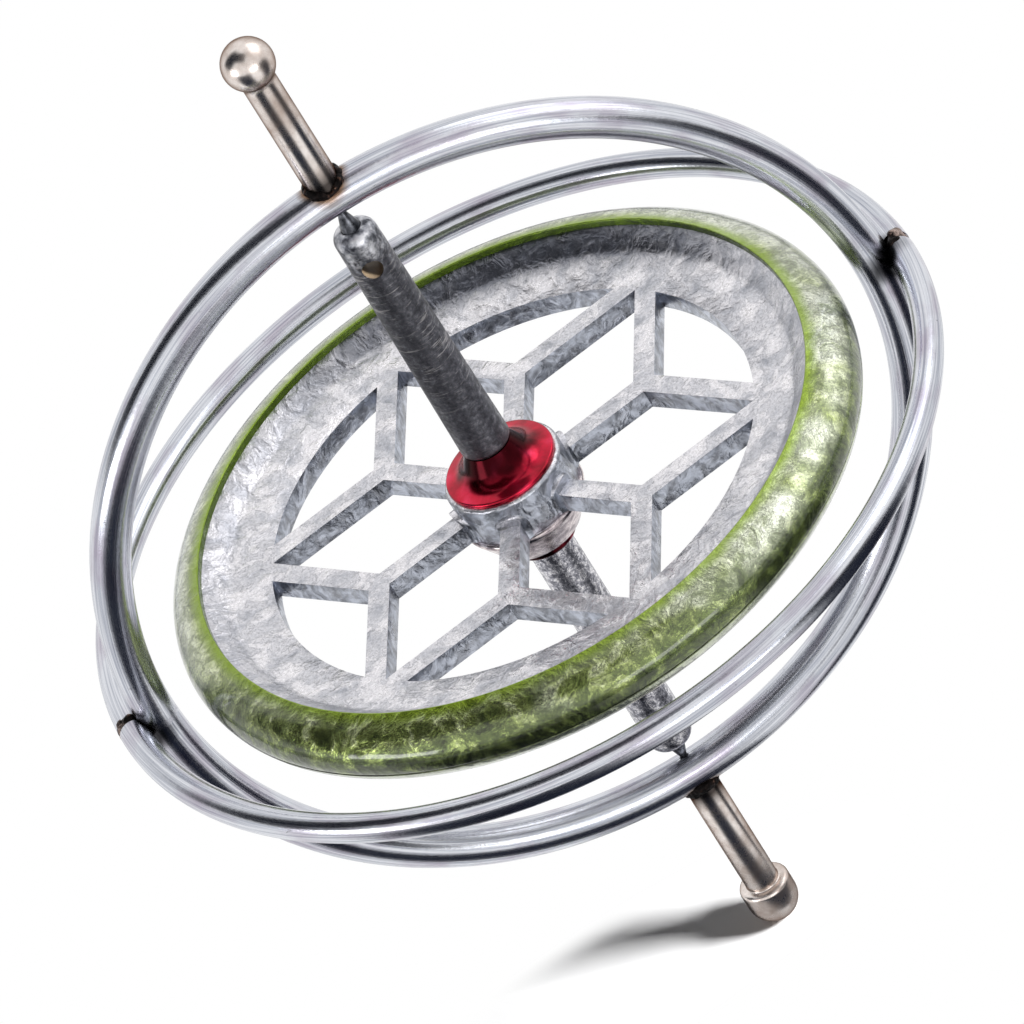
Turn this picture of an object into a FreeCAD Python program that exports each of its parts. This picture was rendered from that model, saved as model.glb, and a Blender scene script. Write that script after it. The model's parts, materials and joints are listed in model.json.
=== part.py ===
import FreeCAD, Part
import math
import os
import Sketcher

# A toy gyroscope. A cast lattice wheel with a heavy lacquered rim turns on a pointed axle
# inside two crossed wire rings. The rings are welded into one frame, with a ball-ended stem
# on top and a round foot below. The axle stands along Z, and the origin is the lowest point
# of the foot. The polar ring lies in the XZ plane and the equator ring in a level plane, so
# the two cross on the X axis. Each piece is drawn about the middle of the wheel and then
# lifted by the foot's length below it.

# The driving dimensions, in millimetres, with turns in degrees and shares without a unit.
SIZES = (
    ("rim_outer_radius", "26.1", "outer radius of the rim"),
    ("rim_width", "3.2", "width of the rim, from its inner to its outer face"),
    ("rim_height", "4.6", "height of the rim"),
    ("rim_lip", "0.15", "bevel of the rim's inner edges"),
    ("flange_width", "4.5", "width of the flange between the windows and the rim"),
    ("flange_proud_share", "0.93", "height of the flange at the rim, as a share of the rim"),
    ("flange_slope_share", "0.7", "where the flange turns up, as a share of its width"),
    ("flange_level", "0.45", "rise of the flange where it turns up"),
    ("flange_round", "1.5", "hollow rounding of the flange"),
    ("web_top", "0.6", "top of the lattice above the middle of the wheel"),
    ("web_bottom", "0.95", "bottom of the lattice below the middle of the wheel"),
    ("fork_share", "0.625", "radius of the forks, as a share of the flange's inner radius"),
    ("bar_width", "1.6", "width of a lattice bar"),
    ("spoke_count", "6", "spokes, and windows of each kind"),
    ("wheel_turn", "8", "turn of the lattice at rest, from the X axis"),
    ("hub_radius", "4.4", "radius of the hub"),
    ("hub_rise", "1.7", "height of the hub above the lattice"),
    ("hub_round", "0.3", "rounding of the hub's top edge"),
    ("arch_radius", "1.25", "radius of the arched pad at a spoke's root"),
    ("arch_level", "0.2", "middle of the arch above the middle of the wheel"),
    ("arch_reach", "0.45", "how far the arched pads stand out of the hub"),
    ("collar_margin", "0.3", "edge of the hub left bare round the upper red collar"),
    ("collar_edge", "0.35", "thickness of the upper collar's edge"),
    ("collar_dish", "0.2", "rise of the collar from its edge to its neck"),
    ("collar_height", "2.3", "height of the upper collar with its neck"),
    ("neck_inset", "0.125", "how far the collar's neck stands back under the shaft"),
    ("neck_flare", "0.95", "how far the neck widens to its root"),
    ("neck_round", "0.8", "hollow rounding at the foot of the neck"),
    ("ferrule_flare", "0.45", "how far the ferrule's shoulder stands out of the hub"),
    ("ferrule_taper", "1.7", "how far the ferrule narrows to its lower end"),
    ("ferrule_height", "3.05", "height of the ferrule"),
    ("ferrule_shoulder", "0.5", "rounding of the ferrule's shoulder"),
    ("ferrule_edge", "0.3", "rounding of the ferrule's lower edge"),
    ("lower_collar_rim", "0.675", "how far the lower red collar stands out of the shaft"),
    ("lower_collar_height", "0.6", "height of the lower red collar"),
    ("shaft_root_width", "3.75", "diameter of the upper shaft beside the hub"),
    ("shaft_tip_width", "3.2", "diameter of the upper shaft at its pivot"),
    ("lower_shaft_width", "3.35", "diameter of the lower shaft"),
    ("shaft_face", "0.03", "flat left round the pivot by the rounding of a shaft's end"),
    ("shaft_lip", "0.4", "rounding of a shaft's inner end"),
    ("string_hole_width", "1.5", "diameter of the string hole"),
    ("string_hole_wall", "0.53", "wall between the string hole and the pivot's seat"),
    ("string_hole_turn", "10", "turn of the string hole about the axle, clockwise from above"),
    ("pivot_width", "1.5", "diameter of a pivot pin"),
    ("pivot_depth", "1.6", "depth of a pivot pin in its shaft"),
    ("pivot_stand", "1.65", "gap between the end of a shaft and the upright ring"),
    ("pivot_bite", "0.4", "how far a pivot point enters the ring"),
    ("pivot_point_width", "0.24", "diameter of a pivot's blunt point"),
    ("pivot_clearance", "0.06", "running clearance of a pivot in its seat"),
    ("core_width", "2.0", "diameter of the steel core of the axle"),
    ("core_depth", "8.0", "depth of the core in either shaft"),
    ("press_seam", "0.02", "seam between a pressed piece and its seat"),
    ("wheel_gap", "1.65", "gap between the rim and the upright ring"),
    ("polar_wire", "2.9", "wire diameter of the upright ring"),
    ("equator_wire", "2.1", "wire diameter of the level ring"),
    ("weld_bite", "0.5", "how far the level ring is let into the upright ring"),
    ("weld_seam", "0.02", "seam between a weld, a stem or a hoop and its ring"),
    ("hoop_gap", "0.7", "gap between the ends of the two level hoops"),
    ("bead_swell", "0.2", "how far a ring weld stands out of the wire"),
    ("stem_width", "2.5", "diameter of both stems"),
    ("ball_stem_length", "11.25", "upright ring to the middle of the top ball"),
    ("ball_width", "3.8", "diameter of the top ball"),
    ("foot_stem_length", "10.45", "upright ring to the flat shoulder of the foot"),
    ("foot_length", "3.5", "round foot, from its flat shoulder to its end"),
    ("foot_width", "3.8", "diameter of the round foot"),
    ("foot_round", "0.35", "rounding of the foot's shoulder"),
    ("weld_spread", "0.5", "how far a stem weld spreads beyond the stem"),
    ("weld_crown", "0.15", "how far the top of a stem weld stands out of the stem"),
    ("weld_rise", "0.55", "height of a stem weld above the ring"),
    ("weld_sink", "0.55", "depth of a stem weld down the sides of the ring"),
    ("overrun", "1.0", "how far a cutting tool runs past what it cuts"),
)

doc = FreeCAD.newDocument("gyroscope")
sheet = doc.addObject("Spreadsheet::Sheet", "Sizes")


class Size:
    """A length, turn or share: its value, and the formula that ties it to the sheet."""

    def __init__(self, value, formula):
        self.value = value
        self.formula = formula

    def __add__(self, other):
        return combine(self, "+", other, self.value + other.value)

    def __sub__(self, other):
        return combine(self, "-", other, self.value - other.value)

    def __mul__(self, other):
        return combine(self, "*", other, self.value * other.value)

    def __truediv__(self, other):
        return combine(self, "/", other, self.value / other.value)

    def __neg__(self):
        return Size(-self.value, "(-1 * " + self.formula + ")")


def combine(first, sign, second, value):
    """The size that two sizes make, with the formula that makes it."""
    return Size(value, "(" + first.formula + " " + sign + " " + second.formula + ")")


def sine(turn):
    """The sine of a turn, as a share."""
    return Size(math.sin(math.radians(turn.value)), "sin(" + turn.formula + ")")


def cosine(turn):
    """The cosine of a turn, as a share."""
    return Size(math.cos(math.radians(turn.value)), "cos(" + turn.formula + ")")


def fill_sheet():
    """Writes the driving dimensions into the sheet and returns them by name."""
    found = {}
    for row, (alias, text, note) in enumerate(SIZES, start=1):
        cell = "B" + str(row)
        sheet.set("A" + str(row), alias)
        sheet.set(cell, text)
        sheet.set("C" + str(row), note)
        sheet.setAlias(cell, alias)
        found[alias] = Size(float(text), "Sizes." + alias)
    doc.recompute()
    return found


S = fill_sheet()
ZERO = Size(0.0, "0")
HALF = Size(0.5, "0.5")
DOUBLE = Size(2.0, "2")

# Turns in degrees, and the directions of the axes.
QUARTER_TURN = 90
HALF_TURN = 180
FULL_TURN = 360
ALONG_X = FreeCAD.Vector(1, 0, 0)
UP = FreeCAD.Vector(0, 0, 1)
DOWN = FreeCAD.Vector(0, 0, -1)

# An edge belongs to a rounding if it lies within this share of the rounding's radius.
NEAR_SHARE = 0.05

# The wheel, from its rim inwards.
rim_inner_radius = S["rim_outer_radius"] - S["rim_width"]
flange_inner_radius = rim_inner_radius - S["flange_width"]
fork_radius = flange_inner_radius * S["fork_share"]
half_bar = S["bar_width"] * HALF
half_pitch = Size(HALF_TURN, str(HALF_TURN)) / S["spoke_count"]

# The rings, from the rim outwards. Both stems stand on the upright ring.
polar_tube = S["polar_wire"] * HALF
equator_tube = S["equator_wire"] * HALF
ring_inside = S["rim_outer_radius"] + S["wheel_gap"]
polar_radius = ring_inside + polar_tube
ring_outside = polar_radius + polar_tube
equator_radius = ring_outside + equator_tube - S["weld_bite"]
stem_radius = S["stem_width"] * HALF
ball_reach = ring_outside + S["ball_stem_length"]
foot_radius = S["foot_width"] * HALF
foot_shoulder = ring_outside + S["foot_stem_length"]
foot_reach = foot_shoulder + S["foot_length"]

# The axle, from the middle of the wheel outwards. Heights below the middle are depths.
hub_top = S["web_top"] + S["hub_rise"]
upper_shaft_start = hub_top + S["collar_height"]
ferrule_depth = S["web_bottom"] + S["ferrule_height"]
lower_shaft_start = ferrule_depth + S["lower_collar_height"]
core_bore = S["core_width"] * HALF + S["press_seam"]
shaft_end = ring_inside - S["pivot_stand"]
upper_shaft_radius = S["shaft_root_width"] * HALF
lower_shaft_radius = S["lower_shaft_width"] * HALF
pivot_radius = S["pivot_width"] * HALF
pivot_point_radius = S["pivot_point_width"] * HALF
pivot_start = shaft_end - S["pivot_depth"]
pivot_tip = ring_inside + S["pivot_bite"]


def bind(item, **sizes):
    """Ties properties of an object to their formulas. A double underscore stands for a dot."""
    for name, wanted in sizes.items():
        item.setExpression(name.replace("__", "."), wanted.formula)
    return item


def lift(item, label):
    """Names a finished piece and lifts it so that the foot stands on the origin."""
    item.Label = label
    bind(item, Placement__Base__z=foot_reach)
    return item


def turn_about(item, axis, turn):
    """Turns a piece about an upright axis by a turn of the sheet."""
    item.Placement.Rotation = FreeCAD.Rotation(axis, turn.value)
    bind(item, Placement__Rotation__Angle=turn)


def add(kind, name, **sizes):
    """A primitive whose sizes and place follow the sheet."""
    return bind(doc.addObject("Part::" + kind, name), **sizes)


def cut(name, base, tool):
    """The base with the tool taken out of it."""
    result = doc.addObject("Part::Cut", name)
    result.Base = base
    result.Tool = tool
    return result


def common(name, base, tool):
    """What the base and the tool have in common."""
    result = doc.addObject("Part::Common", name)
    result.Base = base
    result.Tool = tool
    return result


def fuse(name, pieces):
    """Several shapes made into one solid."""
    result = doc.addObject("Part::MultiFuse", name)
    result.Shapes = pieces
    result.Refine = True
    return result


def new_body(name):
    """An empty body."""
    return doc.addObject("PartDesign::Body", name)


def origin_item(body, role):
    """One of the body's own origin planes or axes."""
    return [item for item in body.Origin.OriginFeatures if item.Role == role][0]


def outline(body, role, name, corners):
    """A closed straight-sided sketch on an origin plane, each corner tied to the sheet."""
    sketch = body.newObject("Sketcher::SketchObject", name)
    sketch.AttachmentSupport = [(origin_item(body, role), "")]
    sketch.MapMode = "FlatFace"
    points = [FreeCAD.Vector(x.value, y.value, 0) for x, y in corners]
    for index, point in enumerate(points):
        following = points[(index + 1) % len(points)]
        sketch.addGeometry(Part.LineSegment(point, following), False)
    for index, (x, y) in enumerate(corners):
        previous = (index - 1) % len(corners)
        sketch.addConstraint(Sketcher.Constraint("Coincident", previous, 2, index, 1))
        tie_corner(sketch, index, "DistanceX", -2, x)
        tie_corner(sketch, index, "DistanceY", -1, y)
    return sketch


def tie_corner(sketch, index, direction, axis, place):
    """Ties one coordinate of a corner: on the axis if it is zero, else by its formula."""
    if place is ZERO:
        sketch.addConstraint(Sketcher.Constraint("PointOnObject", index, 1, axis))
        return
    tie(sketch, Sketcher.Constraint(direction, -1, 1, index, 1, place.value), place)


def tie(sketch, constraint, wanted):
    """Adds a constraint whose value follows its formula."""
    made = sketch.addConstraint(constraint)
    sketch.setExpression("Constraints[" + str(made) + "]", wanted.formula)


def turned(body, name, corners):
    """Turns an outline of radii and heights once round the axle."""
    sketch = outline(body, "XZ_Plane", name + "_outline", corners)
    feature = body.newObject("PartDesign::Revolution", name)
    feature.Profile = sketch
    feature.ReferenceAxis = (sketch, ["V_Axis"])
    feature.Angle = FULL_TURN
    doc.recompute()
    return feature


def rounded(body, name, feature, radius, corners):
    """Rounds the circular edges of a turned piece at the given radii and heights."""
    edges = []
    for index, edge in enumerate(feature.Shape.Edges, start=1):
        if not isinstance(edge.Curve, Part.Circle):
            continue
        for place, height in corners:
            near = abs(edge.Curve.Radius - place.value) + abs(edge.Curve.Center.z - height.value)
            if near < radius.value * NEAR_SHARE:
                edges.append("Edge" + str(index))
    fillet = body.newObject("PartDesign::Fillet", name)
    fillet.Base = (feature, edges)
    bind(fillet, Radius=radius)
    doc.recompute()
    return fillet


def upright_loop(name, tube):
    """A ring of round section that stands in the XZ plane."""
    loop = add("Torus", name, Radius1=polar_radius, Radius2=tube)
    loop.Placement.Rotation = FreeCAD.Rotation(ALONG_X, QUARTER_TURN)
    return loop


# The upright ring's own space with its weld seam, taken out of all that is welded to it.
ring_space = upright_loop("ring_space", polar_tube + S["weld_seam"])


def polar_ring():
    """The upright wire ring, with a conical seat for a pivot inside each pole."""
    wire = upright_loop("polar_wire_loop", polar_tube)
    slope = (pivot_radius - pivot_point_radius) / (pivot_tip - shaft_end)
    mouth = ring_inside - S["overrun"]
    mouth_radius = pivot_point_radius + slope * (pivot_tip - mouth) + S["pivot_clearance"]
    seats = []
    for name, turn in (("upper_seat", 0), ("lower_seat", HALF_TURN)):
        seat = add(
            "Cone",
            name,
            Radius1=mouth_radius,
            Radius2=pivot_point_radius + S["pivot_clearance"],
            Height=pivot_tip + S["pivot_clearance"] - mouth,
        )
        seat.Placement.Rotation = FreeCAD.Rotation(ALONG_X, turn)
        bind(seat, Placement__Base__z=-mouth if turn else mouth)
        seats.append(seat)
    lift(cut("polar_ring", wire, fuse("pivot_seats", seats)), "polar_ring")


def half_space(name, near, far, side):
    """A block on one side of the XZ plane, from the near to the far distance."""
    span = far + S["overrun"]
    block = add(
        "Box",
        name,
        Length=DOUBLE * span,
        Width=far - near,
        Height=DOUBLE * S["equator_wire"],
    )
    start = near if side > 0 else -far
    bind(block, Placement__Base__x=-span, Placement__Base__y=start)
    bind(block, Placement__Base__z=-S["equator_wire"])
    return block


def equator_hoops():
    """The level ring, made as two half hoops that end on the outside of the upright ring."""
    span = equator_radius + S["equator_wire"]
    for label, side in (("equator_hoop_rear", 1), ("equator_hoop_front", -1)):
        wire = add("Torus", label + "_wire", Radius1=equator_radius, Radius2=equator_tube)
        block = half_space(label + "_side", S["hoop_gap"] * HALF, span, side)
        half = common(label + "_half", wire, block)
        lift(cut(label, half, ring_space), label)


def ring_welds():
    """The two welds that fill the gaps between the hoop ends."""
    swollen = equator_tube + S["bead_swell"]
    span = equator_radius + S["equator_wire"]
    for label, side in (("ring_weld_right", 1), ("ring_weld_left", -1)):
        bead = add("Torus", label + "_loop", Radius1=equator_radius, Radius2=swollen)
        block = add(
            "Box",
            label + "_gap",
            Length=span,
            Width=S["hoop_gap"],
            Height=DOUBLE * S["equator_wire"],
        )
        if side < 0:
            bind(block, Placement__Base__x=-span)
        bind(block, Placement__Base__y=-S["hoop_gap"] * HALF, Placement__Base__z=-S["equator_wire"])
        lift(cut(label, common(label + "_bead", bead, block), ring_space), label)


def ball_stem():
    """The upper stem, with a ball on its end, seated on the top of the upright ring."""
    rod = add(
        "Cylinder",
        "ball_stem_rod",
        Radius=stem_radius,
        Height=ball_reach - polar_radius,
        Placement__Base__z=polar_radius,
    )
    ball = add("Sphere", "ball", Radius=S["ball_width"] * HALF, Placement__Base__z=ball_reach)
    lift(cut("ball_stem", fuse("ball_on_stem", [rod, ball]), ring_space), "ball_stem")


def foot_stem():
    """The lower stem, with a flat-shouldered round foot, seated under the upright ring."""
    middle = foot_reach - foot_radius
    body = new_body("foot_turning")
    rod = turned(
        body,
        "foot_rod",
        [
            (ZERO, -middle),
            (foot_radius, -middle),
            (foot_radius, -foot_shoulder),
            (stem_radius, -foot_shoulder),
            (stem_radius, -polar_radius),
            (ZERO, -polar_radius),
        ],
    )
    rounded(body, "foot_edge", rod, S["foot_round"], [(foot_radius, -foot_shoulder)])
    end = add("Sphere", "foot_end", Radius=foot_radius, Placement__Base__z=-middle)
    lift(cut("foot_stem", fuse("foot_on_stem", [body, end]), ring_space), "foot_stem")


def stem_welds():
    """The burnt weld collars that join the stems to the upright ring."""
    height = S["weld_rise"] + S["weld_sink"]
    base = ring_outside - S["weld_sink"]
    for label, side in (("ball_stem_weld", 1), ("foot_stem_weld", -1)):
        collar = add(
            "Cone",
            label + "_collar",
            Radius1=stem_radius + S["weld_spread"],
            Radius2=stem_radius + S["weld_crown"],
            Height=height,
        )
        bore = add("Cylinder", label + "_bore", Radius=stem_radius + S["weld_seam"], Height=height)
        for item in (collar, bore):
            if side < 0:
                item.Placement.Rotation = FreeCAD.Rotation(ALONG_X, HALF_TURN)
            bind(item, Placement__Base__z=base if side > 0 else -base)
        lift(cut(label, cut(label + "_sleeve", collar, bore), ring_space), label)


def wheel_casting():
    """The cast wheel: a lattice of spokes that fork to the rim, a dished flange and a hub."""
    body = new_body("wheel_casting")
    top = S["web_top"]
    bottom = -S["web_bottom"]
    web_reach = flange_inner_radius + S["flange_width"] * HALF
    corners = [(core_bore, bottom), (web_reach, bottom), (web_reach, top), (core_bore, top)]
    web = turned(body, "web", corners)
    cut_windows(body, web, "inner_windows", inner_window())
    cut_windows(body, web, "outer_windows", outer_window(web_reach))
    flange(body)
    hub(body)
    arched_pads(body)
    lift(body, "wheel_casting")
    turn_about(body, UP, S["wheel_turn"])


def inner_window():
    """The corners of the lozenge between two spokes and the branches that meet beyond them."""
    middle = fork_radius * cosine(half_pitch)
    room = middle * sine(half_pitch) - half_bar
    long_half = room / sine(half_pitch)
    short_half = room / cosine(half_pitch)
    return [
        beside_ray(middle - long_half, ZERO),
        beside_ray(middle, -short_half),
        beside_ray(middle + long_half, ZERO),
        beside_ray(middle, short_half),
    ]


def beside_ray(distance, offset):
    """The point along the ray midway between two spokes, and to the left of that ray."""
    x = distance * cosine(half_pitch) - offset * sine(half_pitch)
    y = distance * sine(half_pitch) + offset * cosine(half_pitch)
    return x, y


def outer_window(reach):
    """The corners of the open triangle between the two branches of one fork."""
    fork = DOUBLE * half_pitch
    tip = fork_radius + half_bar / sine(fork)
    width = (reach - tip) * sine(fork) / cosine(fork)
    return [(tip, ZERO), (reach, width), (reach, -width)]


def cut_windows(body, base, name, corners):
    """Cuts one window through the web and repeats it round the axle."""
    sketch = outline(body, "XY_Plane", name + "_outline", corners)
    pocket = cut_through(body, name + "_cut", sketch)
    repeat_round(body, name, pocket)
    if body.Shape.Volume >= base.Shape.Volume:
        raise ValueError(name + " cut nothing")


def cut_through(body, name, sketch):
    """Cuts an outline through the whole body, both ways."""
    pocket = body.newObject("PartDesign::Pocket", name)
    pocket.Profile = sketch
    pocket.Type = "ThroughAll"
    pocket.Midplane = True
    doc.recompute()
    return pocket


def repeat_round(body, name, feature):
    """Repeats a feature round the axle, once for each spoke."""
    pattern = body.newObject("PartDesign::PolarPattern", name)
    pattern.Originals = [feature]
    pattern.Axis = (origin_item(body, "Z_Axis"), [""])
    pattern.Angle = FULL_TURN
    bind(pattern, Occurrences=S["spoke_count"])
    body.Tip = pattern
    doc.recompute()


def flange(body):
    """The dished flange that carries the rim, and closes the outer windows."""
    inner = flange_inner_radius
    outer = rim_inner_radius - S["press_seam"]
    turn = inner + (outer - inner) * S["flange_slope_share"]
    edge = S["rim_height"] * HALF * S["flange_proud_share"]
    bend_top = S["web_top"] + S["flange_level"]
    bend_bottom = -(S["web_bottom"] + S["flange_level"])
    dish = turned(
        body,
        "dish",
        [
            (inner, -S["web_bottom"]),
            (turn, bend_bottom),
            (outer, -edge),
            (outer, edge),
            (turn, bend_top),
            (inner, S["web_top"]),
        ],
    )
    rounded(body, "dish_hollow", dish, S["flange_round"], [(turn, bend_top), (turn, bend_bottom)])


def hub(body):
    """The hub, bored for the core of the axle."""
    radius = S["hub_radius"]
    bottom = -S["web_bottom"]
    corners = [(core_bore, bottom), (radius, bottom), (radius, hub_top), (core_bore, hub_top)]
    boss = turned(body, "boss", corners)
    rounded(body, "boss_edge", boss, S["hub_round"], [(radius, hub_top)])


def arched_pads(body):
    """The pad on the hub round each spoke's root, straight-sided with an arched top."""
    before = body.Shape.Volume
    half = S["arch_radius"]
    foot = -S["web_bottom"]
    sketch = body.newObject("Sketcher::SketchObject", "arch_outline")
    sketch.AttachmentSupport = [(origin_item(body, "YZ_Plane"), "")]
    sketch.MapMode = "FlatFace"
    left_foot = FreeCAD.Vector(-half.value, foot.value, 0)
    right_foot = FreeCAD.Vector(half.value, foot.value, 0)
    left_spring = FreeCAD.Vector(-half.value, S["arch_level"].value, 0)
    right_spring = FreeCAD.Vector(half.value, S["arch_level"].value, 0)
    middle = FreeCAD.Vector(0, S["arch_level"].value, 0)
    sketch.addGeometry(Part.LineSegment(left_foot, right_foot), False)
    sketch.addGeometry(Part.LineSegment(right_foot, right_spring), False)
    circle = Part.Circle(middle, UP, half.value)
    sketch.addGeometry(Part.ArcOfCircle(circle, 0, math.radians(HALF_TURN)), False)
    sketch.addGeometry(Part.LineSegment(left_spring, left_foot), False)
    sketch.addConstraint(Sketcher.Constraint("Coincident", 0, 2, 1, 1))
    sketch.addConstraint(Sketcher.Constraint("Coincident", 1, 2, 2, 1))
    sketch.addConstraint(Sketcher.Constraint("Coincident", 2, 2, 3, 1))
    sketch.addConstraint(Sketcher.Constraint("Coincident", 3, 2, 0, 1))
    sketch.addConstraint(Sketcher.Constraint("Horizontal", 0))
    sketch.addConstraint(Sketcher.Constraint("Vertical", 1))
    sketch.addConstraint(Sketcher.Constraint("Vertical", 3))
    sketch.addConstraint(Sketcher.Constraint("PointOnObject", 2, 3, -2))
    sketch.addConstraint(Sketcher.Constraint("Horizontal", 1, 2, 2, 3))
    sketch.addConstraint(Sketcher.Constraint("Horizontal", 3, 1, 2, 3))
    tie(sketch, Sketcher.Constraint("Radius", 2, half.value), half)
    tie(sketch, Sketcher.Constraint("DistanceY", -1, 1, 2, 3, S["arch_level"].value), S["arch_level"])
    tie(sketch, Sketcher.Constraint("DistanceY", -1, 1, 0, 1, foot.value), foot)
    pad = body.newObject("PartDesign::Pad", "arched_pad")
    pad.Profile = sketch
    bind(pad, Length=S["hub_radius"] + S["arch_reach"])
    doc.recompute()
    repeat_round(body, "arched_pads", pad)
    bore(body)
    if body.Shape.Volume <= before:
        raise ValueError("the arched pads added nothing")


def bore(body):
    """The bore of the hub, for the core of the axle."""
    sketch = body.newObject("Sketcher::SketchObject", "bore_outline")
    sketch.AttachmentSupport = [(origin_item(body, "XY_Plane"), "")]
    sketch.MapMode = "FlatFace"
    sketch.addGeometry(Part.Circle(FreeCAD.Vector(0, 0, 0), UP, core_bore.value), False)
    sketch.addConstraint(Sketcher.Constraint("Coincident", 0, 3, -1, 1))
    tie(sketch, Sketcher.Constraint("Radius", 0, core_bore.value), core_bore)
    cut_through(body, "bore", sketch)


def wheel_rim():
    """The heavy rim: full round outside, with a bevelled inner edge above and below."""
    body = new_body("wheel_rim")
    inner = rim_inner_radius
    outer = S["rim_outer_radius"]
    half = S["rim_height"] * HALF
    lip = S["rim_lip"]
    ring = turned(
        body,
        "rim_section",
        [
            (inner, -(half - lip)),
            (inner + lip, -half),
            (outer, -half),
            (outer, half),
            (inner + lip, half),
            (inner, half - lip),
        ],
    )
    rounded(body, "rim_bulge", ring, half - S["press_seam"], [(outer, half), (outer, -half)])
    lift(body, "wheel_rim")


def axle_core():
    """The steel rod inside the axle, through the hub and into both shafts."""
    depth = lower_shaft_start + S["core_depth"]
    rod = add(
        "Cylinder",
        "axle_core",
        Radius=S["core_width"] * HALF,
        Height=depth + upper_shaft_start + S["core_depth"],
    )
    rod.Label = "axle_core"
    bind(rod, Placement__Base__z=foot_reach - depth)


def shaft(label, start, root, tip):
    """A shaft drawn upwards: bored for the core at its root and for a pivot at its tip."""
    body = new_body(label)
    floor = start + S["core_depth"] + S["press_seam"]
    pivot_bore = pivot_radius + S["press_seam"]
    rod = turned(
        body,
        label + "_rod",
        [
            (core_bore, start),
            (root, start),
            (tip, shaft_end),
            (pivot_bore, shaft_end),
            (pivot_bore, pivot_start - S["press_seam"]),
            (ZERO, pivot_start - S["press_seam"]),
            (ZERO, floor),
            (core_bore, floor),
        ],
    )
    dome = rounded(body, label + "_dome", rod, tip - pivot_bore - S["shaft_face"], [(tip, shaft_end)])
    rounded(body, label + "_lip", dome, S["shaft_lip"], [(root, start)])
    return body


def upper_shaft():
    """The dark upper shaft, with the cross hole for the pull string."""
    tip = S["shaft_tip_width"] * HALF
    body = shaft("upper_shaft", upper_shaft_start, upper_shaft_radius, tip)
    before = body.Shape.Volume
    radius = S["string_hole_width"] * HALF
    centre = pivot_start - S["press_seam"] - S["string_hole_wall"] - radius
    sketch = body.newObject("Sketcher::SketchObject", "string_hole_outline")
    sketch.AttachmentSupport = [(origin_item(body, "XZ_Plane"), "")]
    sketch.MapMode = "FlatFace"
    place = FreeCAD.Vector(0, centre.value, 0)
    sketch.addGeometry(Part.Circle(place, UP, radius.value), False)
    sketch.addConstraint(Sketcher.Constraint("PointOnObject", 0, 3, -2))
    tie(sketch, Sketcher.Constraint("DistanceY", -1, 1, 0, 3, centre.value), centre)
    tie(sketch, Sketcher.Constraint("Radius", 0, radius.value), radius)
    cut_through(body, "string_hole", sketch)
    if body.Shape.Volume >= before:
        raise ValueError("the string hole cut nothing")
    lift(body, "upper_shaft")
    turn_about(body, DOWN, S["string_hole_turn"])


def lower_shaft():
    """The bright lower shaft, drawn upwards and turned over."""
    body = shaft("lower_shaft", lower_shaft_start, lower_shaft_radius, lower_shaft_radius)
    lift(body, "lower_shaft")
    body.Placement.Rotation = FreeCAD.Rotation(ALONG_X, HALF_TURN)


def pivots():
    """The hardened pivot pins: a shank in the shaft and a cone that ends in the ring."""
    for label, turn in (("upper_pivot", 0), ("lower_pivot", HALF_TURN)):
        body = new_body(label)
        turned(
            body,
            label + "_pin",
            [
                (ZERO, pivot_start),
                (pivot_radius, pivot_start),
                (pivot_radius, shaft_end),
                (pivot_point_radius, pivot_tip),
                (ZERO, pivot_tip),
            ],
        )
        lift(body, label)
        body.Placement.Rotation = FreeCAD.Rotation(ALONG_X, turn)


def upper_collar():
    """The red collar on the hub: a flat flange and a bell-shaped neck under the shaft."""
    body = new_body("upper_collar")
    radius = S["hub_radius"] - S["collar_margin"]
    edge = hub_top + S["collar_edge"]
    root = edge + S["collar_dish"]
    neck_top_radius = upper_shaft_radius - S["neck_inset"]
    neck_root_radius = neck_top_radius + S["neck_flare"]
    neck = turned(
        body,
        "collar_section",
        [
            (core_bore, hub_top),
            (radius, hub_top),
            (radius, edge),
            (neck_root_radius, root),
            (neck_top_radius, upper_shaft_start),
            (core_bore, upper_shaft_start),
        ],
    )
    rounded(body, "collar_bell", neck, S["neck_round"], [(neck_root_radius, root)])
    lift(body, "upper_collar")


def hub_ferrule():
    """The smooth tapered ferrule under the hub."""
    body = new_body("hub_ferrule")
    top = -S["web_bottom"]
    bottom = -ferrule_depth
    shoulder_radius = S["hub_radius"] + S["ferrule_flare"]
    end_radius = shoulder_radius - S["ferrule_taper"]
    corners = [(core_bore, bottom), (end_radius, bottom), (shoulder_radius, top), (core_bore, top)]
    cone = turned(body, "ferrule_section", corners)
    edge = rounded(body, "ferrule_lower_edge", cone, S["ferrule_edge"], [(end_radius, bottom)])
    rounded(body, "ferrule_rounding", edge, S["ferrule_shoulder"], [(shoulder_radius, top)])
    lift(body, "hub_ferrule")


def lower_collar():
    """The small red collar between the ferrule and the lower shaft."""
    body = new_body("lower_collar")
    radius = lower_shaft_radius + S["lower_collar_rim"]
    top = -ferrule_depth
    bottom = -lower_shaft_start
    corners = [(core_bore, bottom), (radius, bottom), (radius, top), (core_bore, top)]
    turned(body, "lower_collar_section", corners)
    lift(body, "lower_collar")


polar_ring()
equator_hoops()
ring_welds()
ball_stem()
foot_stem()
stem_welds()
wheel_casting()
wheel_rim()
axle_core()
upper_shaft()
lower_shaft()
pivots()
upper_collar()
hub_ferrule()
lower_collar()

NODES = (
    "polar_ring",
    "equator_hoop_front",
    "equator_hoop_rear",
    "ring_weld_right",
    "ring_weld_left",
    "ball_stem",
    "ball_stem_weld",
    "foot_stem",
    "foot_stem_weld",
    "wheel_casting",
    "wheel_rim",
    "hub_ferrule",
    "upper_collar",
    "lower_collar",
    "axle_core",
    "upper_shaft",
    "lower_shaft",
    "upper_pivot",
    "lower_pivot",
)

doc.recompute()
for item in doc.Objects:
    if "Invalid" in item.State or "Error" in item.State:
        raise ValueError(item.Name + " failed to build")

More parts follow.
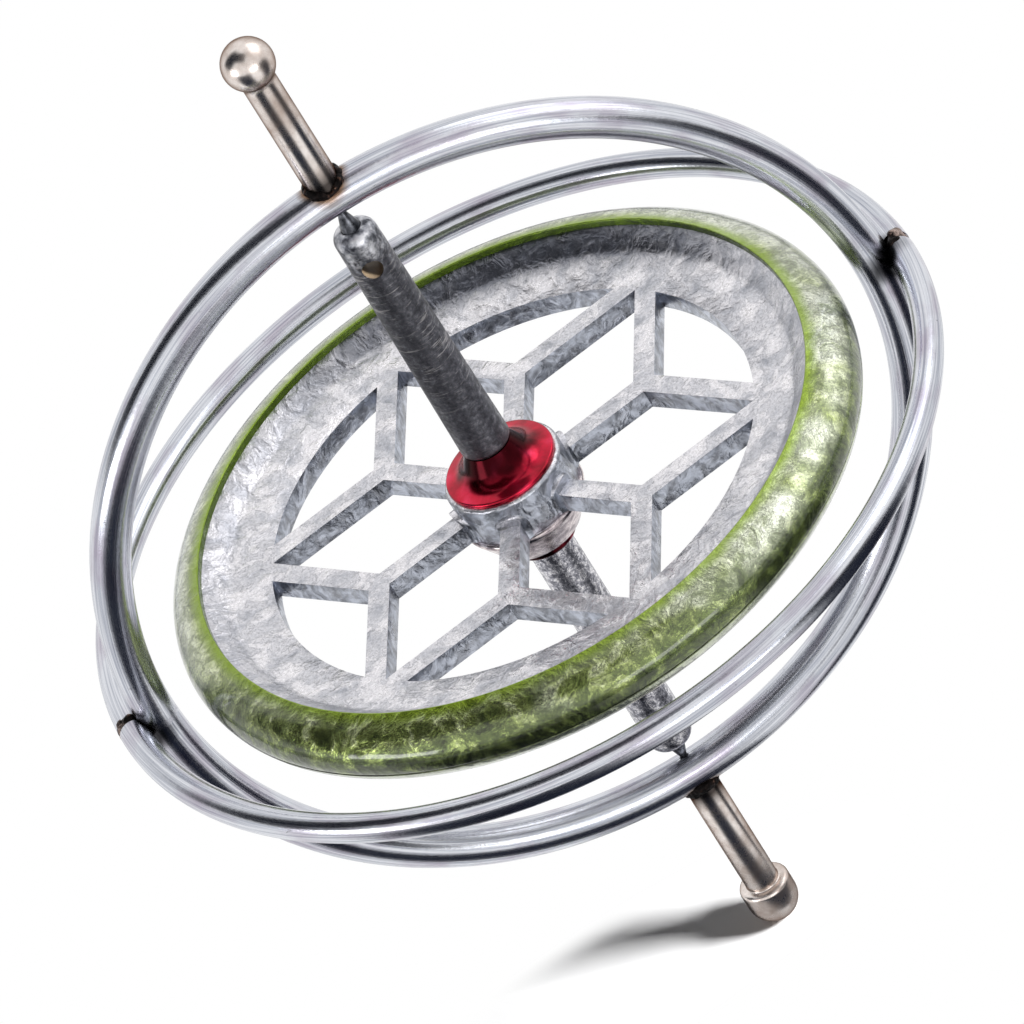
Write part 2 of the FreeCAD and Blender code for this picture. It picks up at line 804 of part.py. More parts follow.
os.makedirs("parts", exist_ok=True)
for label in NODES:
    piece = doc.getObjectsByLabel(label)[0]
    if piece.Shape.isNull() or not piece.Shape.isValid():
        raise ValueError(label + " has no valid shape")
    piece.Shape.exportStep("parts/" + label + ".step")
    print(label, len(piece.Shape.Solids), "solid", round(piece.Shape.Volume, 3), "mm3")
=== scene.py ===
# %% [markdown]
# # A toy gyroscope, from its CAD frame to a studio picture
# The toy is all metal: a cast lattice wheel with a green lacquered rim spins on a pointed
# axle, inside two crossed wire rings that carry a stem with a ball above and a stem with a
# round foot below. The CAD model gives every size, so it is loaded first, and everything
# here is drawn in its frame: metres, +Z up the axle, the origin under the foot.

# %% Load the frame
import bpy
import bmesh
import json
from math import atan2, cos, degrees, hypot, pi, radians, sin
from mathutils import Matrix, Vector, noise

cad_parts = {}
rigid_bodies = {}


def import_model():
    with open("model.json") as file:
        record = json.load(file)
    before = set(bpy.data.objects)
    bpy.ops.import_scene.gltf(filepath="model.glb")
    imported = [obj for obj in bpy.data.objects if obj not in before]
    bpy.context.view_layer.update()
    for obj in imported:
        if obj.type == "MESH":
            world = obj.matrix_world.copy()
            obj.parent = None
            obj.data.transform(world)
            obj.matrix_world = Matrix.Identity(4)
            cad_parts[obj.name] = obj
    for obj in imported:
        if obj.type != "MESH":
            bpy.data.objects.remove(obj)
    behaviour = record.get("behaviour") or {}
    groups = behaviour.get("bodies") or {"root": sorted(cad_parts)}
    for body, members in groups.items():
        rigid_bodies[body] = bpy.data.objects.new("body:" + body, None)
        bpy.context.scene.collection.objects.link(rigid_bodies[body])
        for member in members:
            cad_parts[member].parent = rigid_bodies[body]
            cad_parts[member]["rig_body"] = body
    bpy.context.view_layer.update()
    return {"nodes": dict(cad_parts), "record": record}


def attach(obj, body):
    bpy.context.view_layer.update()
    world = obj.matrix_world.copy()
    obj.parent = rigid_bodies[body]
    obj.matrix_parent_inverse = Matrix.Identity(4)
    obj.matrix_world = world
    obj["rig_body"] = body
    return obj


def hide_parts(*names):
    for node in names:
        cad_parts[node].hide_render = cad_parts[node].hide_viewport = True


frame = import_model()

# %% [markdown]
# ## The camera
# The picture was taken with a long lens from 37 degrees above the wheel, with the camera
# rolled by 32 degrees, so that the toy leans to the left and seems to stand on its foot.
# A long lens is a narrow angle: 828 mm away, the frame is only 71 mm wide. The camera is
# built from three directions, because a roll is easier to read that way than from angles.

# %% Camera
MM = 0.001
WHEEL_LEVEL = 44.6
WHEEL_MIDDLE = Vector((0, 0, WHEEL_LEVEL * MM))
CAMERA_RISE = radians(36.9)
CAMERA_ROLL = radians(32.3)
CAMERA_DISTANCE = 828 * MM
LENS = 421.9
AIM_RIGHT, AIM_UP = 0.228 * MM, 1.635 * MM


def put_in_scene(name, data):
    """An object that shows a mesh, a lamp or a camera."""
    thing = bpy.data.objects.new(name, data)
    bpy.context.scene.collection.objects.link(thing)
    return thing


across = Vector((1, 0, 0))
upward = Vector((0, sin(CAMERA_RISE), cos(CAMERA_RISE)))
TO_CAMERA = Vector((0, -cos(CAMERA_RISE), sin(CAMERA_RISE)))
RIGHT = across * cos(CAMERA_ROLL) - upward * sin(CAMERA_ROLL)
UP = across * sin(CAMERA_ROLL) + upward * cos(CAMERA_ROLL)

camera_data = bpy.data.cameras.new("camera")
camera_data.sensor_width = 36
camera_data.lens = LENS
camera = put_in_scene("camera", camera_data)
stand = WHEEL_MIDDLE + TO_CAMERA * CAMERA_DISTANCE - RIGHT * AIM_RIGHT - UP * AIM_UP
facing = Matrix((RIGHT, UP, TO_CAMERA)).transposed().to_4x4()
camera.matrix_world = Matrix.Translation(stand) @ facing
bpy.context.scene.camera = camera
bpy.context.scene.view_settings.view_transform = "Standard"
print("camera", round(degrees(CAMERA_RISE)), "degrees up, lens", camera_data.lens)

# %% [markdown]
# ## Helpers for materials
# A colour is written as the hex code that a paint program shows, and a shader wants it
# linear. Another helper adds a node of any kind with its settings and inputs, so that a
# finish reads as a list of what it does. Inputs in a list fill the sockets in order: a Map
# Range takes the value, the two levels that it lies between and the two that they become,
# which are 0 and 1 unless they are given. All finishes read Object coordinates, which are
# metres, so a noise of 7 grains to the millimetre has a scale of 7 / MM.

# %% Material helpers
def linear(code):
    """The linear colour of an sRGB hex code."""
    parts = [int(code[place:place + 2], 16) / 255 for place in (1, 3, 5)]
    return tuple(part / 12.92 if part <= 0.04045 else ((part + 0.055) / 1.055) ** 2.4
                 for part in parts) + (1.0,)


def plug(node, inputs):
    """Sets or links a node's inputs, given by name or, as a list, in their order."""
    for name, value in inputs.items() if isinstance(inputs, dict) else enumerate(inputs):
        if isinstance(value, bpy.types.NodeSocket):
            node.id_data.links.new(value, node.inputs[name])
        else:
            node.inputs[name].default_value = value


def add(tree, kind, inputs=(), stops=(), out=0, **settings):
    """Adds a node with its settings, inputs and colour stops, and gives one of its outputs."""
    node = tree.nodes.new("ShaderNode" + kind)
    for name, value in settings.items():
        setattr(node, name, value)
    plug(node, inputs)
    for number, (position, code) in enumerate(stops):
        ramp = node.color_ramp.elements
        stop = ramp[number] if number < 2 else ramp.new(position)
        stop.position = position
        stop.color = linear(code)
    return node.outputs[out]


def off_level(tree, value, level):
    """How far a value is from a level, without its sign. Near 0 this draws contour lines."""
    off = add(tree, "Math", [value, level], operation="SUBTRACT")
    return add(tree, "Math", [off], operation="ABSOLUTE")


def from_axle(tree, place):
    """How far a place is from the axle, at whatever height."""
    flat = add(tree, "VectorMath", [place, (1, 1, 0)], operation="MULTIPLY")
    return add(tree, "VectorMath", [flat], operation="LENGTH", out="Value")


def new_finish(name, chart="Object"):
    """An empty material, its tree, its Principled shader and its coordinates."""
    finish = bpy.data.materials.new(name)
    finish.use_nodes = True
    tree = finish.node_tree
    return finish, tree, tree.nodes["Principled BSDF"], add(tree, "TexCoord", out=chart)


print("steel grey is", [round(part, 3) for part in linear("#9aa0aa")])

# %% [markdown]
# ## Drawn steel wire
# The rings are bare steel wire. It was pulled through a die, which leaves fine lines all
# along it, and then bent round. So the lines have to follow the bend. Each ring piece
# carries an attribute called straight: where its surface lay when the wire was still
# straight. A noise that is stretched along that wire gives the lines. The finish also has
# a faint violet tarnish, small dark pits, the brown and black tints that welding leaves
# near the two poles, and in the two crossings a black of weld soot and painted shade.

# %% Drawn steel wire
POLE_WELDS = [(0, 0, 30.6), (0, 0, -30.6)]
SIDE_WELDS = [(30.2, -0.8, 0.0), (-30.4, -0.4, -0.6)]

wire_steel, tree, shader, place = new_finish("wire_steel_drawn")
straight = add(tree, "Attribute", attribute_name="straight", out="Vector")
stretched = add(tree, "Mapping", {"Vector": straight, "Scale": (0.012, 1, 1)})
# Die lines, 0.14 mm across and some 12 mm long.
lines = add(tree, "TexNoise", {"Vector": stretched, "Scale": 7 / MM, "Detail": 3,
                               "Roughness": 0.6})
# Tarnish in patches 1.4 mm across and some 5 mm long.
drawn_out = add(tree, "Mapping", {"Vector": straight, "Scale": (0.3, 1, 1)})
tarnish = add(tree, "TexNoise", {"Vector": drawn_out, "Scale": 0.7 / MM, "Detail": 4})
steel = add(tree, "ValToRGB", [lines], stops=[(0.3, "#999eab"), (0.6, "#dddfe5")])
violet = add(tree, "MapRange", [tarnish, 0.48, 0.7, 0, 0.55])
tinted = add(tree, "Mix", {0: violet, 6: steel, 7: linear("#9a8a9e")}, data_type="RGBA", out=2)
# Pits of 0.3 mm, where the noise is near its highest.
pit_noise = add(tree, "TexNoise",
                {"Vector": place, "Scale": 1.5 / MM, "Detail": 5, "Roughness": 0.7})
pits = add(tree, "MapRange", [pit_noise, 0.66, 0.74, 0, 0.8])
pitted = add(tree, "Mix", {0: pits, 6: tinted, 7: linear("#3a3234")}, data_type="RGBA", out=2)


def near_welds(spots):
    """How far the nearest of some welds is, in metres, with an uneven edge."""
    nearest = None
    for spot in spots:
        centre = (spot[0] * MM, spot[1] * MM, (WHEEL_LEVEL + spot[2]) * MM)
        far = add(tree, "VectorMath", [place, centre], operation="DISTANCE", out="Value")
        if nearest is not None:
            far = add(tree, "Math", [nearest, far], operation="MINIMUM")
        nearest = far
    return add(tree, "Math", [tarnish, 1.6 * MM, nearest], operation="MULTIPLY_ADD")


heat = add(tree, "MapRange", [near_welds(POLE_WELDS), 1.5 * MM, 2.9 * MM])
scorch = add(tree, "ValToRGB", [heat],
             stops=[(0.0, "#120d0b"), (0.22, "#2a1a14"), (0.4, "#7a4f36"), (0.6, "#a98b72"),
                    (1.0, "#ffffff")])
burnt = add(tree, "Mix", {0: 1.0, 6: pitted, 7: scorch}, data_type="RGBA", blend_type="MULTIPLY",
            out=2)
# Near the side welds the wire is painted black: weld soot, and painted shade in the slits between
# the crossing wires.
soot_and_painted_shade = add(tree, "MapRange", [near_welds(SIDE_WELDS), 1.9 * MM, 3.0 * MM, 0.94, 0],
           interpolation_type="SMOOTHSTEP")
sooted_and_shaded = add(tree, "Mix", {0: soot_and_painted_shade, 6: burnt, 7: linear("#0e0d0f")}, data_type="RGBA", out=2)
polish = add(tree, "MapRange", [lines, 0.3, 0.7, 0.3, 0.14])
rough = add(tree, "MapRange", [heat, 0, 0.5, 0.35, 0.0])
roughness = add(tree, "Math", [polish, rough], operation="ADD")
grooves = add(tree, "Bump", {"Height": lines, "Strength": 0.35, "Distance": 0.02 * MM})
dents = add(tree, "Bump", {"Height": pit_noise, "Normal": grooves, "Strength": 0.25,
                           "Distance": 0.05 * MM})
plug(shader, {"Base Color": sooted_and_shaded, "Roughness": roughness, "Normal": dents, "Metallic": 1.0})
print(wire_steel.name, "has", len(tree.nodes), "nodes")

# %% [markdown]
# ## Weld scale
# Where the rings and stems were welded, the steel burnt to a black, glassy scale with
# coppery spots. It is rough and lumpy, and only its high spots shine.

# %% Weld scale
weld_scale, tree, shader, place = new_finish("weld_scale_burnt")
clumps = add(tree, "TexNoise", {"Vector": place, "Scale": 1.6 / MM, "Detail": 6,
                                "Roughness": 0.65})
scale = add(tree, "ValToRGB", [clumps],
            stops=[(0.4, "#0a0808"), (0.56, "#1c1615"), (0.64, "#4a352c"), (0.72, "#b89a86")])
# The outside of the side welds was brushed back to brownish steel.
outward = from_axle(tree, place)
uneven = add(tree, "Math", [clumps, 3 * MM, outward], operation="MULTIPLY_ADD")
outside = add(tree, "MapRange", [uneven, 32.9 * MM, 33.6 * MM, 0, 0.85])
brushed = add(tree, "Mix", {0: outside, 6: scale, 7: linear("#a8968e")}, data_type="RGBA", out=2)
shine = add(tree, "MapRange", [clumps, 0.4, 0.65, 0.6, 0.28])
crust = add(tree, "Bump", {"Height": clumps, "Strength": 0.8, "Distance": 0.15 * MM})
plug(shader, {"Base Color": brushed, "Roughness": shine, "Normal": crust, "Metallic": 0.9})
print(weld_scale.name)

# %% [markdown]
# ## Polished nickel plate
# Both stems are turned steel with nickel plate: a warm, pinkish grey mirror. Turning and
# handling leave faint rings round them and a few soft stains. The specular tint is what the
# plate throws back at a glancing angle, and a darker one there rounds the stems off.

# %% Polished nickel plate
nickel, tree, shader, place = new_finish("nickel_plate_polished")
flat = add(tree, "Mapping", {"Vector": place, "Scale": (0.15, 0.15, 1)})
turning = add(tree, "TexNoise", {"Vector": flat, "Scale": 5 / MM, "Detail": 3})
stains = add(tree, "TexNoise", {"Vector": place, "Scale": 0.5 / MM, "Detail": 5, "Roughness": 0.6})
plate = add(tree, "ValToRGB", [stains], stops=[(0.35, "#c0b0a6"), (0.65, "#f2eae5")])
# The weld's heat browned both roots.
height = add(tree, "SeparateXYZ", [place], out="Z")
root = add(tree, "MapRange",
           [off_level(tree, height, WHEEL_LEVEL * MM), 31.0 * MM, 32.4 * MM, 0.9, 0])
browned = add(tree, "Mix", {0: root, 6: plate, 7: linear("#1c1210")}, data_type="RGBA", out=2)
gloss = add(tree, "MapRange", [stains, 0.3, 0.7, 0.34, 0.2])
rings = add(tree, "Bump", {"Height": turning, "Strength": 0.12, "Distance": 0.01 * MM})
plug(shader, {"Base Color": browned, "Roughness": gloss, "Normal": rings, "Metallic": 1.0,
              "Specular Tint": linear("#7a6a62")})
print(nickel.name)

# %% [markdown]
# ## Cast zinc
# The wheel was cast in zinc. The metal froze as it flowed over the die, so its skin looks
# like poured foil: shallow swells some 2 mm wide, thin creases where two flows met, and a
# faint grain that sparkles. A broad noise pushes the place about, and a ridged noise there
# draws the creases. The rim is cast too, so both finishes share these folds.

# %% Cast zinc
def cast_folds(tree, place, drift, push, swell, crease):
    """The folds of a cast skin: the pushed place, the swells' height and the bumps."""
    drifts = add(tree, "TexNoise", {"Vector": place, "Scale": drift, "Detail": 2}, out="Color")
    pushed = add(tree, "VectorMath", [drifts, (push, push, push), place], operation="MULTIPLY_ADD")
    swells = add(tree, "TexNoise", {"Vector": pushed, **swell})
    creases = add(tree, "TexNoise",
                  {"Vector": pushed, "Scale": crease, "Detail": 6, "Roughness": 0.6,
                   "Lacunarity": 2.1, "Offset": 0.9, "Gain": 1.6},
                  noise_type="RIDGED_MULTIFRACTAL", normalize=True)
    bumps = add(tree, "Bump", {"Height": swells, "Strength": 0.6, "Distance": 0.25 * MM})
    bumps = add(tree, "Bump", {"Height": creases, "Normal": bumps, "Strength": 0.4,
                               "Distance": 0.08 * MM})
    return pushed, swells, bumps


zinc, tree, shader, place = new_finish("zinc_die_cast")
pushed, swells, folds = cast_folds(
    tree, place, drift=0.42 / MM, push=2.6 * MM, crease=0.62 / MM,
    swell={"Scale": 0.52 / MM, "Detail": 4, "Roughness": 0.6})
grain = add(tree, "TexNoise", {"Vector": place, "Scale": 5.2 / MM, "Detail": 4, "Roughness": 0.7})
skin = add(tree, "ValToRGB", [swells],
           stops=[(0.28, "#b4b6be"), (0.42, "#d4d4da"), (0.56, "#efedf1"), (0.75, "#fbf8fa")])
speck = add(tree, "MapRange", [grain, 0.35, 0.65, 0.74, 1.1])
speckled = add(tree, "VectorMath", {0: skin, "Scale": speck}, operation="SCALE")
# Where the swells pass their middle level runs a thin dark line, as where two flows met.
seam = add(tree, "MapRange", [off_level(tree, swells, 0.5), 0, 0.013, 0.5, 0])
hair = add(tree, "TexNoise", {"Vector": pushed, "Scale": 1.3 / MM, "Detail": 5, "Roughness": 0.6})
hairline = add(tree, "MapRange", [off_level(tree, hair, 0.5), 0, 0.012, 0.4, 0])
lines = add(tree, "Math", [seam, hairline], operation="MAXIMUM")
seamed = add(tree, "Mix", {0: lines, 6: speckled, 7: linear("#62656f")}, data_type="RGBA", out=2)
# The upright walls are painted a mottled slate grey, as painted shade. The true normal
# tells them from the flats.
facing = add(tree, "SeparateXYZ", [add(tree, "NewGeometry", out="True Normal")], out="Z")
level = add(tree, "Math", [facing], operation="ABSOLUTE")
wall_shade = add(tree, "MapRange", [level, 0.15, 0.55, 0.8, 0])
# The sloped face of the flange is painted a little darker than the flats, as painted shade.
slope_shade = add(tree, "MapRange", [level, 0.82, 0.95, 0.35, 0])
slope_shaded = add(tree, "Mix", {0: slope_shade, 6: seamed, 7: linear("#7c808c")}, data_type="RGBA", out=2)
mottle = add(tree, "MapRange", [hair, 0.38, 0.62, 0.45, 1.5])
wall_shade_colour = add(tree, "VectorMath", {0: linear("#a4a9b4")[:3], "Scale": mottle}, operation="SCALE")
walls_shaded = add(tree, "Mix", {0: wall_shade, 6: slope_shaded, 7: wall_shade_colour}, data_type="RGBA", out=2)
# On one side the flange beside the rim is painted a dark slate, as a painted dark
# reflection.
outward = from_axle(tree, place)
by_rim = add(tree, "MapRange", [outward, 19.8 * MM, 21.4 * MM])
beyond = add(tree, "VectorMath", [place, (0.42, 0.91, 0)], operation="DOT_PRODUCT", out="Value")
beyond = add(tree, "Math", [hair, 10 * MM, beyond], operation="MULTIPLY_ADD")
reflecting_side = add(tree, "MapRange", [beyond, 19 * MM, 26 * MM, 0, 0.75])
painted_dark_reflection = add(tree, "Math", [by_rim, reflecting_side], operation="MULTIPLY")
with_dark_reflection = add(tree, "Mix", {0: painted_dark_reflection, 6: walls_shaded, 7: linear("#545865")}, data_type="RGBA", out=2)
haze = add(tree, "MapRange", [swells, 0.3, 0.7, 0.38, 0.24])
sparkle = add(tree, "Bump", {"Height": grain, "Normal": folds, "Strength": 0.35,
                             "Distance": 0.03 * MM})
plug(shader, {"Base Color": with_dark_reflection, "Roughness": haze, "Normal": sparkle, "Metallic": 1.0})
print(zinc.name)

# %% [markdown]
# ## Green lacquer over cast metal
# The rim was dipped in clear green lacquer. The cast metal shows through it: lime where a
# fold throws the light back, dark olive where it doesn't. The base is therefore a green
# metal with the casting's folds, under a smooth clear coat of its own. The first two sizes
# are the rim's radii, and the next two are heights from its middle.

# %% Green lacquer
RIM_INNER, RIM_OUTER = 23.1, 26.1
CREST, PARTING = 2.72, -0.52

green, tree, shader, place = new_finish("lacquer_green_over_cast_metal")
pushed, swells, folds = cast_folds(
    tree, place, drift=0.32 / MM, push=2.5 * MM, crease=0.7 / MM,
    swell={"Scale": 0.62 / MM, "Detail": 6, "Roughness": 0.68})
# Low on the outer side the rim is painted darker, partly as lacquer that ran down and
# lies thicker, partly as painted shade.
above_foot = add(tree, "SeparateXYZ", [place], out="Z")
height = add(tree, "Math", [above_foot, WHEEL_LEVEL * MM], operation="SUBTRACT")
outward = from_axle(tree, place)
thickness_and_painted_shade = add(tree, "MapRange", [height, 0.4 * MM, 1.9 * MM, -0.17, 0.0])
tone_with_painted_shade = add(tree, "Math", [swells, thickness_and_painted_shade], operation="ADD")
depth = add(tree, "ValToRGB", [tone_with_painted_shade],
            stops=[(0.28, "#3e4828"), (0.4, "#66743e"), (0.52, "#98a562"), (0.66, "#d4dbb2")])
# On the upper face the lacquer is painted pale, as a painted sheen of reflected light, with
# thick olive lines between: at the right, and on the far side from the crest outward.
pools = add(tree, "TexNoise", {"Vector": place, "Scale": 0.13 / MM, "Detail": 3, "Roughness": 0.6})
lean = add(tree, "VectorMath", [place, (0.94, -0.34, 0)], operation="DOT_PRODUCT", out="Value")
side = add(tree, "Math", [lean, 8.0, pools], operation="MULTIPLY_ADD")
sheen_at_right = add(tree, "MapRange", [side, 0.56, 0.68, 0, 0.85])
backward = add(tree, "SeparateXYZ", [place], out="Y")
beyond = add(tree, "MapRange", [backward, -4 * MM, 6 * MM])
past_crest = add(tree, "MapRange",
                 [outward, (RIM_INNER + 0.8) * MM, (RIM_INNER + 1.4) * MM, 0, 0.8])
sheen_far_side = add(tree, "Math", [beyond, past_crest], operation="MULTIPLY")
painted_sheen = add(tree, "Math", [sheen_at_right, sheen_far_side], operation="MAXIMUM")
on_top = add(tree, "MapRange", [height, 0.7 * MM, 1.7 * MM])
painted_sheen = add(tree, "Math", [painted_sheen, on_top], operation="MULTIPLY")
patches = add(tree, "MapRange", [swells, 0.4, 0.5, 0.3])
painted_sheen = add(tree, "Math", [painted_sheen, patches], operation="MULTIPLY")
sheened = add(tree, "Mix", {0: painted_sheen, 6: depth, 7: linear("#dcdfd0")}, data_type="RGBA", out=2)
line = add(tree, "MapRange", [off_level(tree, swells, 0.5), 0, 0.02, 0.85, 0])
cracks = add(tree, "TexNoise", {"Vector": pushed, "Scale": 1.2 / MM, "Detail": 5,
                                "Roughness": 0.6})
crack = add(tree, "MapRange", [off_level(tree, cracks, 0.5), 0, 0.016, 0.7, 0])
veins = add(tree, "Math", [line, crack], operation="MAXIMUM")
grain = add(tree, "TexNoise", {"Vector": place, "Scale": 5.2 / MM, "Detail": 4, "Roughness": 0.7})
speck = add(tree, "MapRange", [grain, 0.35, 0.65, 0.75, 1.2])
grainy = add(tree, "VectorMath", {0: sheened, "Scale": speck}, operation="SCALE")
veined = add(tree, "Mix", {0: veins, 6: grainy, 7: linear("#46522a")}, data_type="RGBA", out=2)
# The crest is a clear lime, and the inner wall is a dark green.
edge = add(tree, "MapRange", [outward, (RIM_INNER + 0.3) * MM, (RIM_INNER + 1) * MM, 0.82, 0])
edged = add(tree, "Mix", {0: edge, 6: veined, 7: linear("#8ca62e")}, data_type="RGBA", out=2)
inner = add(tree, "MapRange", [outward, (RIM_INNER + 0.01) * MM, (RIM_INNER + 0.1) * MM, 0.85, 0])
edged = add(tree, "Mix", {0: inner, 6: edged, 7: linear("#4a6310")}, data_type="RGBA", out=2)
# Below the parting line the lip is drawn paler, and the line itself is drawn dark.
lip = add(tree, "MapRange", [height, (PARTING - 0.18) * MM, (PARTING - 0.06) * MM, 0.75, 0])
paler_below_line = add(tree, "Mix", {0: lip, 6: edged, 7: linear("#ccd2bc")}, data_type="RGBA", out=2)
outer = add(tree, "MapRange", [outward, (RIM_OUTER - 1.1) * MM, (RIM_OUTER - 1) * MM])
in_line = add(tree, "MapRange",
              [off_level(tree, height, PARTING * MM), 0.05 * MM, 0.09 * MM, 0.9, 0])
line_darkening = add(tree, "Math", [in_line, outer], operation="MULTIPLY")
line_darkened = add(tree, "Mix", {0: line_darkening, 6: paler_below_line, 7: linear("#20260f")}, data_type="RGBA", out=2)
coat = add(tree, "MapRange", [edge, 0, 0.9, 1, 0.2])
runs = add(tree, "Bump", {"Height": pools, "Strength": 0.4, "Distance": 0.4 * MM})
plug(shader, {"Base Color": line_darkened, "Coat Weight": coat, "Normal": folds, "Coat Normal": runs,
              "Metallic": 0.9, "Roughness": 0.24, "Coat Roughness": 0.1, "Coat IOR": 1.6})
print(green.name)

# %% [markdown]
# ## Red lacquer over bright metal
# The collars have the same kind of clear lacquer in red, over smooth bright metal. That is
# a candy finish: almost black where the metal under it reflects something dark, and pink
# where it reflects a lamp.

# %% Red lacquer
red, tree, shader, place = new_finish("lacquer_red_over_bright_metal")
thickness_and_painted_shade = add(tree, "TexNoise", {"Vector": place, "Scale": 0.42 / MM, "Detail": 4})
candy = add(tree, "ValToRGB", [thickness_and_painted_shade],
            stops=[(0.35, "#86041c"), (0.55, "#c81236"), (0.72, "#e83c64")])
# In the hollow round the shaft the collar is painted almost black, as painted shade and
# dark reflection.
uneven = add(tree, "Math", [thickness_and_painted_shade, 1.6 * MM, from_axle(tree, place)], operation="MULTIPLY_ADD")
hollow_painted_shade = add(tree, "MapRange", [uneven, 3.1 * MM, 4.3 * MM, 0.95, 0],
             interpolation_type="SMOOTHSTEP")
tone_with_painted_shade = add(tree, "Mix", {0: hollow_painted_shade, 6: candy, 7: linear("#120103")}, data_type="RGBA", out=2)
coat = add(tree, "MapRange", [hollow_painted_shade, 0, 0.9, 0.3, 0])
ripple = add(tree, "Bump", {"Height": thickness_and_painted_shade, "Strength": 0.15, "Distance": 0.1 * MM})
plug(shader, {"Base Color": tone_with_painted_shade, "Coat Weight": coat, "Normal": ripple, "Metallic": 0.95,
              "Roughness": 0.18, "Coat Roughness": 0.06, "Coat IOR": 1.5})
print(red.name)

# %% [markdown]
# ## The ferrule's turned steel
# The ferrule under the hub is smooth turned steel, a little pink beside the zinc. Turning
# leaves faint rings, all round and about 0.1 mm apart.

# %% Turned steel
turned_steel, tree, shader, place = new_finish("steel_turned_smooth")
flat = add(tree, "Mapping", {"Vector": place, "Scale": (0.1, 0.1, 1)})
turning = add(tree, "TexNoise", {"Vector": flat, "Scale": 9 / MM, "Detail": 2})
bloom = add(tree, "TexNoise", {"Vector": place, "Scale": 1.1 / MM, "Detail": 6, "Roughness": 0.65})
warm = add(tree, "ValToRGB", [bloom],
           stops=[(0.36, "#7d7378"), (0.5, "#c2b6b8"), (0.62, "#f0e6e4")])
marks = add(tree, "Bump", {"Height": turning, "Strength": 0.25, "Distance": 0.02 * MM})
plug(shader, {"Base Color": warm, "Normal": marks, "Metallic": 1.0, "Roughness": 0.22})
print(turned_steel.name)

# %% [markdown]
# ## The upper shaft's gunmetal
# The upper shaft is a dull dark grey casting with bright scratches that run round it, where
# a string was wound and pulled off, mostly on its upper half. Its outer end is worn bright.
# The height along the axle gives the wear, and a noise that is squashed along the axle
# gives the scratches.

# %% Gunmetal shaft
HOLE_LEVEL, HOLE_RADIUS = 23.2, 0.75

gunmetal, tree, shader, place = new_finish("gunmetal_cast_worn")
height = add(tree, "SeparateXYZ", [place], out="Z")
blotch = add(tree, "TexNoise", {"Vector": place, "Scale": 2.3 / MM, "Detail": 6, "Roughness": 0.7})
uneven = add(tree, "Math", [blotch, 7 * MM, height], operation="MULTIPLY_ADD")
worn = add(tree, "MapRange", [uneven, 71.6 * MM, 73.4 * MM, 0, 0.85])
squashed = add(tree, "Mapping", {"Vector": place, "Scale": (0.1, 0.1, 1)})
scratch = add(tree, "TexNoise",
              {"Vector": squashed, "Scale": 5.2 / MM, "Detail": 4, "Roughness": 0.7})
patch = add(tree, "TexNoise", {"Vector": place, "Scale": 0.42 / MM, "Detail": 2})
body = add(tree, "ValToRGB", [blotch],
           stops=[(0.38, "#45454a"), (0.54, "#5d5d63"), (0.68, "#84848a")])
often = add(tree, "Math", [patch, 0.3, scratch], operation="MULTIPLY_ADD")
wound = add(tree, "MapRange", [uneven, 57 * MM, 61 * MM, 0.12, 0.55])
bared = add(tree, "MapRange", [often, 0.73, 0.8, 0, wound])
scored = add(tree, "Mix", {0: bared, 6: body, 7: linear("#d0cccc")}, data_type="RGBA", out=2)
battered = add(tree, "TexNoise",
               {"Vector": place, "Scale": 0.95 / MM, "Detail": 5, "Roughness": 0.6})
bright = add(tree, "ValToRGB", [battered],
             stops=[(0.4, "#44464d"), (0.5, "#a6a8af"), (0.6, "#e8e8ec")])
tip = add(tree, "Mix", {0: worn, 6: scored, 7: bright}, data_type="RGBA", out=2)
# The string hole's wall is painted a light brown, as painted light inside the hole, and
# lies nearer the axle than the shaft's skin.
inside = add(tree, "MapRange", [from_axle(tree, place), 1.5 * MM, 1.6 * MM, 1, 0])
near_hole = add(tree, "Math", [height, (WHEEL_LEVEL + HOLE_LEVEL) * MM, 1.0 * MM],
                operation="COMPARE")
hole_wall = add(tree, "Math", [inside, near_hole], operation="MULTIPLY")
hole_painted_light = add(tree, "Mix", {0: hole_wall, 6: tip, 7: linear("#85745f")}, data_type="RGBA", out=2)
metal = add(tree, "MapRange", [hole_wall, 0, 1, 0.9, 0.1])
satin = add(tree, "MapRange", [blotch, 0.35, 0.7, 0.5, 0.3])
skin = add(tree, "Bump", {"Height": blotch, "Strength": 0.25, "Distance": 0.06 * MM})
cuts = add(tree, "Bump", {"Height": scratch, "Normal": skin, "Strength": 0.3,
                          "Distance": 0.03 * MM})
plug(shader, {"Base Color": hole_painted_light, "Metallic": metal, "Roughness": satin, "Normal": cuts})
print(gunmetal.name)

# %% [markdown]
# ## The lower shaft's bright casting
# The lower shaft is the same kind of casting, left bright: silver with a coarse sparkle.

# %% Bright shaft
bright_cast, tree, shader, place = new_finish("zinc_cast_bright")
blotch = add(tree, "TexNoise", {"Vector": place, "Scale": 2.4 / MM, "Detail": 6,
                                "Roughness": 0.75})
silver = add(tree, "ValToRGB", [blotch],
             stops=[(0.38, "#55565e"), (0.5, "#a6a6ae"), (0.6, "#f2f0f2")])
facets = add(tree, "Bump", {"Height": blotch, "Strength": 0.7, "Distance": 0.07 * MM})
plug(shader, {"Base Color": silver, "Normal": facets, "Metallic": 1.0, "Roughness": 0.2})
print(bright_cast.name)

# %% [markdown]
# ## Hardened steel
# The pivots and the core are hardened steel, almost black, with an oily shine.

# %% Hardened steel
hard_steel, tree, shader, place = new_finish("steel_hardened_black")
oil = add(tree, "TexNoise", {"Vector": place, "Scale": 1.8 / MM, "Detail": 4})
black = add(tree, "ValToRGB", [oil], stops=[(0.4, "#2e3035"), (0.7, "#7b7d84")])
plug(shader, {"Base Color": black, "Metallic": 0.9, "Roughness": 0.25})
print(hard_steel.name)

